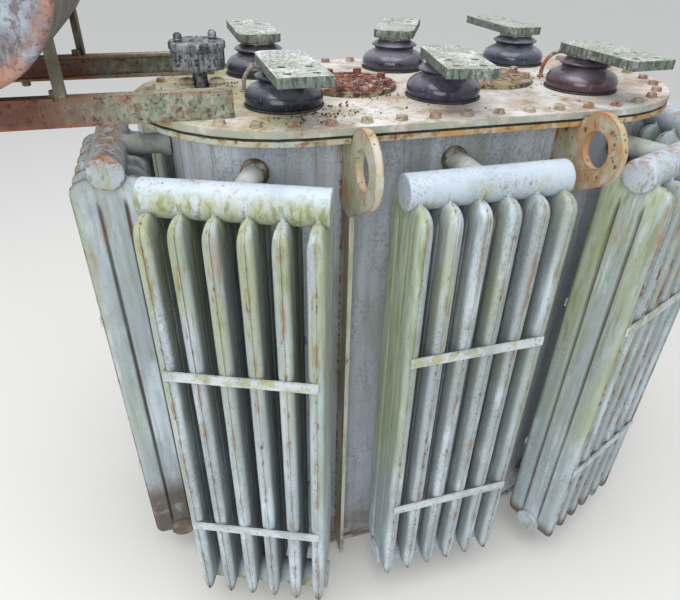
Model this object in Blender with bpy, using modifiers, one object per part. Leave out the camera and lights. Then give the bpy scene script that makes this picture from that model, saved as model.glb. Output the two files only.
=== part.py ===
"""An oil-filled power transformer with an obround tank, eight pressed-panel
radiators, six terminal bushings on the cover and a drum conservator on two beams.

Lengths are in metres and +Z is up. The tank stands on the ground at z = 0. Its long side
runs along X and its terminals for the photographed side point to -Y.
"""

import math

import bmesh
import bpy
from mathutils import Matrix, Vector

COLLECTION_NAME = "power_transformer"
CUTTER_COLLECTION_NAME = "cutters"

# Clearance between pieces that touch, and the overrun of every cutting solid
SEAM = 0.0003
CUT_OVERRUN = 0.004
WELD_DISTANCE = 0.00001

# Tank, an upright vessel with straight sides and half-round ends
TANK_STRAIGHT_HALF = 0.322
TANK_RADIUS = 0.245
TANK_FLANGE_HEIGHT = 1.306
BOTTOM_PLATE_THICKNESS = 0.012
BOTTOM_PLATE_MARGIN = 0.010
ARC_SEGMENTS = 16

# Bolted joint at the top of the tank
FLANGE_THICKNESS = 0.010
COVER_OVERHANG = 0.065
GASKET_THICKNESS = 0.005
GASKET_SETBACK = 0.005
COVER_THICKNESS = 0.0134

# Lifting eyes and the flat bars below them on the long walls
EYE_INSET = 0.078
EYE_ROW_OFFSET = 0.006
EYE_PLATE_THICKNESS = 0.015
EYE_RING_RADIUS = 0.073
EYE_HOLE_RADIUS = 0.037
EYE_REACH = 0.127
EYE_DROP = 0.030
EYE_EDGE_CLEARANCE = 0.002
EYE_ARC_SEGMENTS = 18
EYE_HOLE_SEGMENTS = 20
STIFFENER_DEPTH = 0.055
STIFFENER_THICKNESS = 0.010
STIFFENER_DROP = 0.122

# Radiators of six pressed panels between two header tubes
HEADER_STANDOFF = 0.147
END_HEADER_STANDOFF = 0.127
HEADER_RADIUS = 0.035
HEADER_LENGTH = 0.340
UPPER_HEADER_DROP = 0.070
LOWER_HEADER_HEIGHT = 0.128
HEADER_SEGMENTS = 12
LINK_RADIUS = 0.022
LINK_COLLAR_RADIUS = 0.028
LINK_COLLAR_THICKNESS = 0.012
PANEL_COUNT = 6
PANEL_PITCH = 0.060
PANEL_WIDTH = 0.154
PANEL_THICKNESS = 0.032
PANEL_GROOVE_DEPTH = 0.009
PANEL_BOTTOM = 0.110
PANEL_SHOULDER_DROP = 0.044
PANEL_TOE_HEIGHT = 0.036
PANEL_GROOVE_END = 0.026
PANEL_NECK_WIDTH = 0.092
PANEL_NECK_THICKNESS = 0.012
PANEL_TOE_WIDTH = 0.132
PANEL_TOE_THICKNESS = 0.006
STRAP_WIDTH = 0.022
STRAP_THICKNESS = 0.005
STRAP_BITE = 0.002
STRAP_END = 0.012
END_RADIATOR_ANGLE = math.radians(22.5)

# Heights of the straps as shares of the way up a panel
STRAP_HEIGHT_SHARES = (0.274, 0.720)

# Half of a panel's section, from one edge to the other: place across the width as a
# share of half the width, and whether the sheet is at a flute or in a groove
PANEL_SECTION_SHARES = (
    (-0.86, "flute"),
    (-0.40, "flute"),
    (-0.333, "groove"),
    (-0.266, "flute"),
    (0.266, "flute"),
    (0.333, "groove"),
    (0.40, "flute"),
    (0.86, "flute"),
)

# Terminal bushings in two rows of three
BUSHING_PITCH = 0.351
BUSHING_ROW_OFFSET = 0.018
BUSHING_FRONT_Y = -0.123
BUSHING_BACK_Y = 0.182
BUSHING_HEIGHT = 0.0745
BUSHING_RADIUS = 0.0795
BUSHING_STEPS = 24
BUSHING_FOOT_RADIUS = 0.074
BUSHING_NECK_RADIUS = 0.049
BUSHING_SHED_RADIUS = 0.0575
BUSHING_CAP_RADIUS = 0.040

# Heights on the bushing as shares of its height
BUSHING_FOOT_SHARE = 0.13
BUSHING_BELL_SHARE = 0.28
BUSHING_SHOULDER_SHARE = 0.44
BUSHING_NECK_LOW_SHARE = 0.585
BUSHING_NECK_HIGH_SHARE = 0.645
BUSHING_SHED_LOW_SHARE = 0.725
BUSHING_SHED_HIGH_SHARE = 0.780
BUSHING_CAP_SHARE = 0.930
BUSHING_SHOULDER_RADIUS_SHARE = 0.93

# Terminal palms, flat bars with four bolt holes at the free end
PALM_WIDTH = 0.100
PALM_THICKNESS = 0.019
PALM_REACH = 0.197
PALM_TAIL = 0.052
PALM_CORNER = 0.024
PALM_HOLE_RADIUS = 0.008
PALM_HOLE_SPACING_ACROSS = 0.051
PALM_HOLE_SPACING_ALONG = 0.055
PALM_HOLE_EDGE = 0.027
PALM_HOLE_SEGMENTS = 12

# Turns of the palms about their studs, front row then back row, left to right
PALM_TURNS = (
    math.radians(0.0),
    math.radians(-11.0),
    math.radians(2.0),
    math.radians(180.0),
    math.radians(153.0),
    math.radians(180.0),
)

# Bolted inspection covers on the centre line of the cover plate
INSPECTION_RADIUS = 0.107
INSPECTION_THICKNESS = 0.010
INSPECTION_SEGMENTS = 32

# Bent bar loops that lift the cover
LOOP_HALF_SPACING = 0.370
LOOP_SPAN = 0.090
LOOP_HEIGHT = 0.058
LOOP_BAR_RADIUS = 0.0055
LOOP_BEND_POINTS = 7

# Pressure relief device on the left of the cover
RELIEF_X = -0.485
RELIEF_Y = 0.032
RELIEF_BASE_RADIUS = 0.034
RELIEF_BASE_THICKNESS = 0.008
RELIEF_NECK_RADIUS = 0.015
RELIEF_CAP_RADIUS = 0.056
RELIEF_BAND_RADIUS = 0.059
RELIEF_CAP_BOTTOM = 0.045
RELIEF_BAND_BOTTOM = 0.084
RELIEF_CAP_TOP = 0.102
RELIEF_STEPS = 24

# Conservator drum, its two channel beams and its four angle posts
DRUM_X = -0.868
DRUM_RADIUS = 0.176
DRUM_LENGTH = 0.570
DRUM_RISE = 0.250
DRUM_SEGMENTS = 32
BEAM_FRONT_Y = -0.200
BEAM_BACK_Y = 0.215
BEAM_RIGHT_END = -0.443
BEAM_LEFT_END = -1.062
BEAM_HEIGHT = 0.050
BEAM_FLANGE_WIDTH = 0.028
BEAM_WALL = 0.005
POST_SPREAD = 0.133
POST_LEG = 0.018
POST_WALL = 0.004

# Levels and places that follow from the sizes above
COVER_RADIUS = TANK_RADIUS + COVER_OVERHANG
EYE_X = TANK_STRAIGHT_HALF - EYE_INSET
EYE_HEIGHT = TANK_FLANGE_HEIGHT - EYE_DROP
STIFFENER_TOP = EYE_HEIGHT - STIFFENER_DROP
UPPER_HEADER_HEIGHT = TANK_FLANGE_HEIGHT - UPPER_HEADER_DROP
PANEL_SHOULDER_HEIGHT = UPPER_HEADER_HEIGHT - PANEL_SHOULDER_DROP
FLANGE_TOP = TANK_FLANGE_HEIGHT + FLANGE_THICKNESS
GASKET_BOTTOM = FLANGE_TOP + SEAM
COVER_BOTTOM = GASKET_BOTTOM + GASKET_THICKNESS + SEAM
COVER_TOP = COVER_BOTTOM + COVER_THICKNESS
SEAT = COVER_TOP + SEAM
BEAM_TOP = SEAT + BEAM_HEIGHT
DRUM_CENTRE_HEIGHT = COVER_TOP + DRUM_RISE
RIGHT_END = (TANK_STRAIGHT_HALF + TANK_RADIUS + END_HEADER_STANDOFF + PANEL_WIDTH / 2
             + STRAP_THICKNESS - STRAP_BITE)

# The part's origin is under the middle of its whole length
TANK_CENTRE_X = -(BEAM_LEFT_END + RIGHT_END) / 2

OUTWARD_FRONT = Vector((0, -1, 0))
OUTWARD_BACK = Vector((0, 1, 0))
UP = Vector((0, 0, 1))


def clear_scene():
    for existing in list(bpy.data.objects):
        bpy.data.objects.remove(existing, do_unlink=True)


def new_collection(name):
    collection = bpy.data.collections.new(name)
    bpy.context.scene.collection.children.link(collection)
    return collection


def new_material(name, colour, roughness, metallic=0.0):
    material = bpy.data.materials.new(name)
    material.use_nodes = True
    shader = material.node_tree.nodes["Principled BSDF"]
    shader.inputs["Base Color"].default_value = (*colour, 1)
    shader.inputs["Roughness"].default_value = roughness
    shader.inputs["Metallic"].default_value = metallic
    return material


def new_object(name, mesh):
    part = bpy.data.objects.new(name, mesh)
    PARTS.objects.link(part)
    part.parent = ORIGIN
    return part


def set_material(part, material):
    part.data.materials.clear()
    part.data.materials.append(material)


def shade_smooth(mesh, angle=math.radians(35)):
    """Shade round faces smooth and keep edges over the angle sharp."""
    work = bmesh.new()
    work.from_mesh(mesh)
    for face in work.faces:
        face.smooth = True
    for edge in work.edges:
        if edge.is_manifold and edge.calc_face_angle() > angle:
            edge.smooth = False
    work.to_mesh(mesh)
    work.free()


def mesh_of(work, name):
    """Turn a bmesh into a mesh with its faces pointing out."""
    bmesh.ops.recalc_face_normals(work, faces=work.faces)
    mesh = bpy.data.meshes.new(name)
    work.to_mesh(mesh)
    work.free()
    return mesh


def frame(origin, x_axis, y_axis):
    """A placing matrix whose local X and Y run along the given directions."""
    z_axis = x_axis.cross(y_axis)
    turn = Matrix((x_axis, y_axis, z_axis)).transposed().to_4x4()
    return Matrix.Translation(origin) @ turn


def extruded(name, outlines, thickness):
    """A flat plate from closed outlines in XY, the first one outside and the rest holes.

    Its thickness is centred on the plane z = 0.
    """
    curve = bpy.data.curves.new(name, "CURVE")
    curve.dimensions = "2D"
    curve.fill_mode = "BOTH"
    curve.extrude = thickness / 2
    for outline in outlines:
        spline = curve.splines.new("POLY")
        spline.points.add(len(outline) - 1)
        for point, (x, y) in zip(spline.points, outline):
            point.co = (x, y, 0, 1)
        spline.use_cyclic_u = True
    return mesh_of_curve(curve, name)


def mesh_of_curve(curve, name):
    """The curve's solid as a welded mesh."""
    holder = bpy.data.objects.new(name, curve)
    bpy.context.scene.collection.objects.link(holder)
    graph = bpy.context.evaluated_depsgraph_get()
    mesh = bpy.data.meshes.new_from_object(holder.evaluated_get(graph))
    bpy.data.objects.remove(holder)
    bpy.data.curves.remove(curve)
    work = bmesh.new()
    work.from_mesh(mesh)
    bmesh.ops.remove_doubles(work, verts=work.verts, dist=WELD_DISTANCE)
    bpy.data.meshes.remove(mesh)
    return mesh_of(work, name)


def arc(centre, radius, start, end, segments):
    """Points along a circular arc from the start angle to the end angle."""
    points = []
    for step in range(segments + 1):
        angle = start + (end - start) * step / segments
        x = centre[0] + radius * math.cos(angle)
        y = centre[1] + radius * math.sin(angle)
        points.append((x, y))
    return points


def circle(centre, radius, segments):
    return arc(centre, radius, 0, math.tau, segments)[:-1]


def obround(straight_half, radius):
    """The outline of a plate with straight sides and half-round ends."""
    right = arc((straight_half, 0), radius, -math.pi / 2, math.pi / 2, ARC_SEGMENTS)
    left = arc((-straight_half, 0), radius, math.pi / 2, math.pi * 3 / 2, ARC_SEGMENTS)
    return right + left


def rod_mesh(name, radius, length, segments, matrix):
    """A round bar along local Z with its middle at the matrix's origin."""
    work = bmesh.new()
    bmesh.ops.create_cone(
        work, cap_ends=True, segments=segments, radius1=radius, radius2=radius,
        depth=length, matrix=matrix)
    return mesh_of(work, name)


def box_mesh(name, size, centre):
    work = bmesh.new()
    place = Matrix.Translation(centre) @ Matrix.Diagonal((*size, 1))
    bmesh.ops.create_cube(work, size=1, matrix=place)
    return mesh_of(work, name)


def turned(name, profile, steps):
    """A solid turned about Z from a profile of (radius, height), from the axis at its
    foot to the axis at its top."""
    mesh = bpy.data.meshes.new(name)
    points = [(radius, 0, height) for radius, height in reversed(profile)]
    edges = [(index, index + 1) for index in range(len(points) - 1)]
    mesh.from_pydata(points, edges, [])
    part = new_object(name, mesh)
    screw = part.modifiers.new("Turn", "SCREW")
    screw.axis = "Z"
    screw.angle = math.tau
    screw.steps = steps
    screw.render_steps = steps
    screw.use_merge_vertices = True
    screw.merge_threshold = WELD_DISTANCE
    screw.use_smooth_shade = True
    return part


def slab(name, outlines, bottom, top, material):
    """A level plate between two heights."""
    part = new_object(name, extruded(name, outlines, top - bottom))
    part.location.z = (bottom + top) / 2
    set_material(part, material)
    return part


def make_tank():
    wall = obround(TANK_STRAIGHT_HALF, TANK_RADIUS)
    foot = obround(TANK_STRAIGHT_HALF, TANK_RADIUS + BOTTOM_PLATE_MARGIN)
    slab("tank_bottom_plate", [foot], 0, BOTTOM_PLATE_THICKNESS, PAINT)
    shell = slab("tank_shell", [wall], BOTTOM_PLATE_THICKNESS + SEAM, FLANGE_TOP, PAINT)
    shade_smooth(shell.data)
    rim = obround(TANK_STRAIGHT_HALF, COVER_RADIUS)
    bore = obround(TANK_STRAIGHT_HALF, TANK_RADIUS + SEAM)
    flange = slab("tank_flange", [rim, bore], TANK_FLANGE_HEIGHT, FLANGE_TOP, RUSTY_EDGE)
    shade_smooth(flange.data)
    seal = obround(TANK_STRAIGHT_HALF, COVER_RADIUS - GASKET_SETBACK)
    inner = obround(TANK_STRAIGHT_HALF, TANK_RADIUS)
    gasket = slab(
        "cover_gasket", [seal, inner], GASKET_BOTTOM, GASKET_BOTTOM + GASKET_THICKNESS, RUBBER)
    shade_smooth(gasket.data)
    cover = slab("cover_plate", [rim], COVER_BOTTOM, COVER_TOP, COVER_PAINT)
    shade_smooth(cover.data)


def eye_outline():
    """The side outline of a lifting eye plate: reach from the wall, and height."""
    centre = (EYE_REACH, EYE_HEIGHT)
    toe = (STIFFENER_DEPTH, STIFFENER_TOP)
    run = centre[0] - toe[0]
    rise = centre[1] - toe[1]
    distance = math.hypot(run, rise)
    start = math.atan2(-rise, -run) + math.acos(EYE_RING_RADIUS / distance)
    step_reach = COVER_RADIUS - TANK_RADIUS + EYE_EDGE_CLEARANCE
    end = math.pi - math.acos((EYE_REACH - step_reach) / EYE_RING_RADIUS)
    top = TANK_FLANGE_HEIGHT - SEAM
    ring = arc(centre, EYE_RING_RADIUS, start, end, EYE_ARC_SEGMENTS)
    return [(SEAM, toe[1]), toe] + ring + [(step_reach, top), (SEAM, top)]


def make_lifting_eyes():
    outline = eye_outline()
    hole = circle((EYE_REACH, EYE_HEIGHT), EYE_HOLE_RADIUS, EYE_HOLE_SEGMENTS)
    plate = extruded("lifting_eye", [outline, hole], EYE_PLATE_THICKNESS)
    shade_smooth(plate)
    bar_bottom = BOTTOM_PLATE_THICKNESS + SEAM
    bar_top = STIFFENER_TOP - SEAM
    bar_size = (STIFFENER_DEPTH - SEAM, bar_top - bar_bottom, STIFFENER_THICKNESS)
    bar_centre = (SEAM + bar_size[0] / 2, (bar_bottom + bar_top) / 2, 0)
    bar = box_mesh("stiffener", bar_size, bar_centre)
    for side, outward in (("front", OUTWARD_FRONT), ("back", OUTWARD_BACK)):
        for hand, x in (("left", EYE_ROW_OFFSET - EYE_X), ("right", EYE_ROW_OFFSET + EYE_X)):
            wall = Vector((x, 0, 0)) + outward * TANK_RADIUS
            place = frame(wall, outward, UP)
            eye = new_object(f"lifting_eye_{side}_{hand}", plate)
            eye.matrix_local = place
            stiffener = new_object(f"wall_stiffener_{side}_{hand}", bar)
            stiffener.matrix_local = place
    set_material(eye, RUSTY_EDGE)
    set_material(stiffener, PAINT)


def panel_ring(z, width, thickness, groove_depth):
    """One closed level section of a panel, as points round its outline."""
    half = width / 2
    near = []
    for share, place in PANEL_SECTION_SHARES:
        depth = groove_depth if place == "groove" else 0
        near.append(Vector((thickness / 2 - depth, half * share, z)))
    far = [Vector((-point.x, point.y, z)) for point in reversed(near)]
    return [Vector((0, -half, z))] + near + [Vector((0, half, z))] + far


def panel_mesh():
    """A pressed panel as a loft between unlike level sections."""
    low = PANEL_BOTTOM
    high = PANEL_SHOULDER_HEIGHT
    toe_top = low + PANEL_TOE_HEIGHT
    groove_end = PANEL_GROOVE_END
    rings = [
        panel_ring(low, PANEL_TOE_WIDTH, PANEL_TOE_THICKNESS, 0),
        panel_ring(toe_top, PANEL_WIDTH, PANEL_THICKNESS, 0),
        panel_ring(toe_top + groove_end, PANEL_WIDTH, PANEL_THICKNESS, PANEL_GROOVE_DEPTH),
        panel_ring(high - groove_end, PANEL_WIDTH, PANEL_THICKNESS, PANEL_GROOVE_DEPTH),
        panel_ring(high, PANEL_WIDTH, PANEL_THICKNESS, 0),
        panel_ring(UPPER_HEADER_HEIGHT, PANEL_NECK_WIDTH, PANEL_NECK_THICKNESS, 0),
    ]
    work = bmesh.new()
    loops = [[work.verts.new(point) for point in ring] for ring in rings]
    for lower, upper in zip(loops, loops[1:]):
        count = len(lower)
        for index in range(count):
            after = (index + 1) % count
            work.faces.new((lower[index], lower[after], upper[after], upper[index]))
    work.faces.new(reversed(loops[0]))
    work.faces.new(loops[-1])
    return mesh_of(work, "panel")


def radiator_pieces(standoff):
    """The overlapping solids of one radiator, to be joined as one body.

    Its headers run along X through the origin's plane and it faces -Y.
    """
    pieces = []
    along = Matrix.Rotation(math.pi / 2, 4, "Y")
    inward = Matrix.Rotation(math.pi / 2, 4, "X")
    link_length = standoff - SEAM
    for height in (UPPER_HEADER_HEIGHT, LOWER_HEADER_HEIGHT):
        level = Matrix.Translation((0, 0, height))
        pieces.append(
            rod_mesh("header", HEADER_RADIUS, HEADER_LENGTH, HEADER_SEGMENTS, level @ along))
        link = Matrix.Translation((0, link_length / 2, height)) @ inward
        pieces.append(rod_mesh("link", LINK_RADIUS, link_length, HEADER_SEGMENTS, link))
        collar_y = link_length - LINK_COLLAR_THICKNESS / 2
        collar = Matrix.Translation((0, collar_y, height)) @ inward
        pieces.append(rod_mesh(
            "collar", LINK_COLLAR_RADIUS, LINK_COLLAR_THICKNESS, HEADER_SEGMENTS, collar))
    panel = panel_mesh()
    for index in range(PANEL_COUNT):
        x = (index - (PANEL_COUNT - 1) / 2) * PANEL_PITCH
        copy = panel.copy()
        copy.transform(Matrix.Translation((x, 0, 0)))
        pieces.append(copy)
    strap_length = (PANEL_COUNT - 1) * PANEL_PITCH + STRAP_END
    strap_y = PANEL_WIDTH / 2 + STRAP_THICKNESS / 2 - STRAP_BITE
    for share in STRAP_HEIGHT_SHARES:
        height = PANEL_BOTTOM + share * (PANEL_SHOULDER_HEIGHT - PANEL_BOTTOM)
        for side in (-1, 1):
            size = (strap_length, STRAP_THICKNESS, STRAP_WIDTH)
            pieces.append(box_mesh("strap", size, (0, side * strap_y, height)))
    return pieces


def joined(name, pieces):
    """One closed mesh made of overlapping closed meshes."""
    holder = bpy.data.collections.new(name + "_pieces")
    bpy.context.scene.collection.children.link(holder)
    for mesh in pieces[1:]:
        holder.objects.link(bpy.data.objects.new(mesh.name, mesh))
    base = bpy.data.objects.new(name, pieces[0])
    bpy.context.scene.collection.objects.link(base)
    union = base.modifiers.new("Join", "BOOLEAN")
    union.operation = "UNION"
    union.operand_type = "COLLECTION"
    union.collection = holder
    union.solver = "EXACT"
    union.use_self = True
    graph = bpy.context.evaluated_depsgraph_get()
    mesh = bpy.data.meshes.new_from_object(base.evaluated_get(graph))
    mesh.name = name
    for spare in list(holder.objects):
        bpy.data.objects.remove(spare, do_unlink=True)
    bpy.data.collections.remove(holder)
    bpy.data.objects.remove(base, do_unlink=True)
    return mesh


def radiator_places():
    """Name, turn about Z, centre and standoff of each radiator, going round the tank."""
    straight = TANK_STRAIGHT_HALF
    side = END_RADIATOR_ANGLE
    quarter = math.pi / 2
    half = math.pi
    near = END_HEADER_STANDOFF
    far = HEADER_STANDOFF
    return (
        ("front_centre", 0, 0, far),
        ("front_right", side, straight, far),
        ("right_end", quarter, straight, near),
        ("back_right", half - side, straight, far),
        ("back_centre", half, 0, far),
        ("back_left", half + side, -straight, far),
        ("left_end", -quarter, -straight, near),
        ("front_left", -side, -straight, far),
    )


def make_radiators():
    meshes = {}
    for standoff in (HEADER_STANDOFF, END_HEADER_STANDOFF):
        meshes[standoff] = joined("radiator", radiator_pieces(standoff))
        shade_smooth(meshes[standoff])
    for name, turn, centre_x, standoff in radiator_places():
        outward = Vector((math.sin(turn), -math.cos(turn), 0))
        radiator = new_object(f"radiator_{name}", meshes[standoff])
        radiator.location = Vector((centre_x, 0, 0)) + outward * (TANK_RADIUS + standoff)
        radiator.rotation_euler.z = turn
    for mesh in meshes.values():
        mesh.materials.clear()
        mesh.materials.append(PAINT)


def bushing_profile():
    """Radius and height from the seat, round the outside of a bushing."""
    height = BUSHING_HEIGHT
    shoulder = BUSHING_RADIUS * BUSHING_SHOULDER_RADIUS_SHARE
    return (
        (0, 0),
        (BUSHING_FOOT_RADIUS, 0),
        (BUSHING_RADIUS, height * BUSHING_FOOT_SHARE),
        (BUSHING_RADIUS, height * BUSHING_BELL_SHARE),
        (shoulder, height * BUSHING_SHOULDER_SHARE),
        (BUSHING_NECK_RADIUS, height * BUSHING_NECK_LOW_SHARE),
        (BUSHING_NECK_RADIUS, height * BUSHING_NECK_HIGH_SHARE),
        (BUSHING_SHED_RADIUS, height * BUSHING_SHED_LOW_SHARE),
        (BUSHING_SHED_RADIUS, height * BUSHING_SHED_HIGH_SHARE),
        (BUSHING_CAP_RADIUS, height * BUSHING_CAP_SHARE),
        (BUSHING_CAP_RADIUS, height),
        (0, height),
    )


def palm_outlines():
    """A terminal palm seen from above, reaching to -Y, and its four holes."""
    half = PALM_WIDTH / 2
    tip = -PALM_REACH
    corner = PALM_CORNER
    tail = PALM_TAIL - corner
    quarter = math.pi / 2
    segments = 4
    outline = [(-half, tip), (half, tip)]
    outline += arc((half - corner, tail), corner, 0, quarter, segments)
    outline += arc((-half + corner, tail), corner, quarter, math.pi, segments)
    holes = []
    for row in (0, 1):
        y = tip + PALM_HOLE_EDGE + row * PALM_HOLE_SPACING_ALONG
        for side in (-1, 1):
            centre = (side * PALM_HOLE_SPACING_ACROSS / 2, y)
            holes.append(circle(centre, PALM_HOLE_RADIUS, PALM_HOLE_SEGMENTS))
    return [outline] + holes


def make_bushings():
    names = ("left", "centre", "right")
    palm_mesh = extruded("terminal_palm", palm_outlines(), PALM_THICKNESS)
    shade_smooth(palm_mesh)
    palm_height = SEAT + BUSHING_HEIGHT + SEAM + PALM_THICKNESS / 2
    rows = (("front", BUSHING_FRONT_Y), ("back", BUSHING_BACK_Y))
    turns = iter(PALM_TURNS)
    for row, y in rows:
        for place, name in enumerate(names):
            x = BUSHING_ROW_OFFSET + (place - 1) * BUSHING_PITCH
            bushing = turned(f"bushing_{row}_{name}", bushing_profile(), BUSHING_STEPS)
            bushing.location = (x, y, SEAT)
            set_material(bushing, PORCELAIN)
            palm = new_object(f"terminal_palm_{row}_{name}", palm_mesh)
            palm.location = (x, y, palm_height)
            palm.rotation_euler.z = next(turns)
    set_material(palm, PALM_METAL)


def make_inspection_covers():
    height = SEAT + INSPECTION_THICKNESS / 2
    for name, side in (("left", -1), ("right", 1)):
        x = BUSHING_ROW_OFFSET + side * BUSHING_PITCH / 2
        place = Matrix.Translation((x, 0, height))
        mesh = rod_mesh(
            f"inspection_cover_{name}", INSPECTION_RADIUS, INSPECTION_THICKNESS,
            INSPECTION_SEGMENTS, place)
        shade_smooth(mesh)
        part = new_object(f"inspection_cover_{name}", mesh)
        set_material(part, RUST)


def loop_points():
    """The centre line of a lifting loop in XZ, from foot to foot."""
    radius = LOOP_SPAN / 2
    spring = LOOP_HEIGHT - radius
    bend = arc((0, spring), radius, math.pi, 0, LOOP_BEND_POINTS)
    return [(-radius, 0)] + bend + [(radius, 0)]


def make_cover_loops():
    for name, side in (("left", -1), ("right", 1)):
        curve = bpy.data.curves.new("cover_loop", "CURVE")
        curve.dimensions = "3D"
        curve.bevel_depth = LOOP_BAR_RADIUS
        curve.bevel_resolution = 2
        curve.use_fill_caps = True
        spline = curve.splines.new("POLY")
        points = loop_points()
        spline.points.add(len(points) - 1)
        for point, (x, z) in zip(spline.points, points):
            point.co = (x, 0, z, 1)
        mesh = mesh_of_curve(curve, f"cover_lifting_loop_{name}")
        shade_smooth(mesh)
        part = new_object(f"cover_lifting_loop_{name}", mesh)
        part.location = (BUSHING_ROW_OFFSET + side * LOOP_HALF_SPACING, 0, SEAT)
        set_material(part, RUST)


def make_relief_device():
    profile = (
        (0, 0),
        (RELIEF_BASE_RADIUS, 0),
        (RELIEF_BASE_RADIUS, RELIEF_BASE_THICKNESS),
        (RELIEF_NECK_RADIUS, RELIEF_BASE_THICKNESS),
        (RELIEF_NECK_RADIUS, RELIEF_CAP_BOTTOM),
        (RELIEF_CAP_RADIUS, RELIEF_CAP_BOTTOM),
        (RELIEF_CAP_RADIUS, RELIEF_BAND_BOTTOM),
        (RELIEF_BAND_RADIUS, RELIEF_BAND_BOTTOM),
        (RELIEF_BAND_RADIUS, RELIEF_CAP_TOP),
        (0, RELIEF_CAP_TOP),
    )
    part = turned("pressure_relief_device", profile, RELIEF_STEPS)
    part.location = (RELIEF_X, RELIEF_Y, SEAT)
    set_material(part, CAST_METAL)


def beam_outline():
    """A channel's section: out from its web and up from its foot."""
    flange = BEAM_FLANGE_WIDTH
    wall = BEAM_WALL
    top = BEAM_HEIGHT
    return [
        (0, 0), (flange, 0), (flange, wall), (wall, wall),
        (wall, top - wall), (flange, top - wall), (flange, top), (0, top),
    ]


def make_beams():
    length = BEAM_RIGHT_END - BEAM_LEFT_END
    section = extruded("conservator_beam", [beam_outline()], length)
    middle = (BEAM_RIGHT_END + BEAM_LEFT_END) / 2
    for name, y, inward in (
            ("front", BEAM_FRONT_Y, OUTWARD_BACK), ("back", BEAM_BACK_Y, OUTWARD_FRONT)):
        beam = new_object(f"conservator_beam_{name}", section)
        beam.matrix_local = frame(Vector((middle, y, SEAT)), inward, UP)
    set_material(beam, BEAM_STEEL)


def make_drum():
    place = Matrix.Translation((DRUM_X, 0, DRUM_CENTRE_HEIGHT))
    along = Matrix.Rotation(math.pi / 2, 4, "X")
    mesh = rod_mesh("conservator_drum", DRUM_RADIUS, DRUM_LENGTH, DRUM_SEGMENTS, place @ along)
    shade_smooth(mesh)
    drum = new_object("conservator_drum", mesh)
    set_material(drum, DRUM_PAINT)
    bore_length = DRUM_LENGTH + CUT_OVERRUN
    bore = rod_mesh(
        "drum_seat", DRUM_RADIUS + SEAM, bore_length, DRUM_SEGMENTS, place @ along)
    cutter = bpy.data.objects.new("drum_seat", bore)
    CUTTERS.objects.link(cutter)
    cutter.parent = ORIGIN
    cutter.hide_render = True
    cutter.display_type = "WIRE"
    return cutter


def post_outline():
    """An angle's section with its corner at the origin."""
    leg = POST_LEG
    wall = POST_WALL
    return [(0, 0), (leg, 0), (leg, wall), (wall, wall), (wall, leg), (0, leg)]


def make_posts(drum_seat):
    bottom = BEAM_TOP + SEAM
    height = DRUM_CENTRE_HEIGHT - bottom
    section = extruded("drum_post", [post_outline()], height)
    rows = (("front", BEAM_FRONT_Y, 1), ("back", BEAM_BACK_Y, -1))
    for row, y, inward in rows:
        for name, side in (("left", -1), ("right", 1)):
            mesh = section.copy()
            mesh.transform(Matrix.Diagonal((-side, inward, 1, 1)))
            work = bmesh.new()
            work.from_mesh(mesh)
            bmesh.ops.recalc_face_normals(work, faces=work.faces)
            work.to_mesh(mesh)
            work.free()
            post = new_object(f"drum_post_{row}_{name}", mesh)
            x = DRUM_X + side * (POST_SPREAD + POST_LEG / 2)
            post.location = (x, y, bottom + height / 2)
            cut = post.modifiers.new("Seat", "BOOLEAN")
            cut.operation = "DIFFERENCE"
            cut.object = drum_seat
            cut.solver = "EXACT"
            set_material(post, BEAM_STEEL)


clear_scene()
PARTS = new_collection(COLLECTION_NAME)
CUTTERS = new_collection(CUTTER_COLLECTION_NAME)
ORIGIN = bpy.data.objects.new("transformer_origin", None)
PARTS.objects.link(ORIGIN)
ORIGIN.location.x = TANK_CENTRE_X

PAINT = new_material("grey_blue_paint", (0.42, 0.47, 0.50), 0.55)
COVER_PAINT = new_material("worn_cover_paint", (0.55, 0.50, 0.42), 0.7)
RUSTY_EDGE = new_material("rusty_edge", (0.45, 0.27, 0.13), 0.85)
RUST = new_material("scaly_rust", (0.22, 0.09, 0.06), 0.9)
RUBBER = new_material("gasket_rubber", (0.03, 0.03, 0.03), 0.9)
PORCELAIN = new_material("dark_glazed_porcelain", (0.05, 0.045, 0.07), 0.15)
PALM_METAL = new_material("weathered_palm_metal", (0.36, 0.38, 0.34), 0.6, 0.4)
CAST_METAL = new_material("weathered_cast_metal", (0.25, 0.27, 0.28), 0.55, 0.6)
BEAM_STEEL = new_material("rusted_beam_steel", (0.27, 0.16, 0.11), 0.85)
DRUM_PAINT = new_material("stained_drum_paint", (0.40, 0.40, 0.40), 0.65)

make_tank()
make_lifting_eyes()
make_radiators()
make_bushings()
make_inspection_covers()
make_cover_loops()
make_relief_device()
make_beams()
make_posts(make_drum())
bpy.context.view_layer.update()
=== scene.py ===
# %% [markdown]
# # A weathered power transformer
#
# The object is a free-standing oil-filled transformer that has stood outdoors for years.
# Its CAD solids are already right in size and place, so this lesson dresses them: it swaps
# the plain solids for finer meshes where the real shape is rounder or has more detail, adds
# bolts, welds and rust scale, and gives every surface a procedural finish in layers.
#
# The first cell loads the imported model. Everything is in metres, +Z is up, and a CAD node's
# place is in its mesh, so new pieces are built straight into the same frame.

import math
import random
from statistics import NormalDist

import bmesh
import bpy
from mathutils import Matrix, Vector, noise


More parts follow.
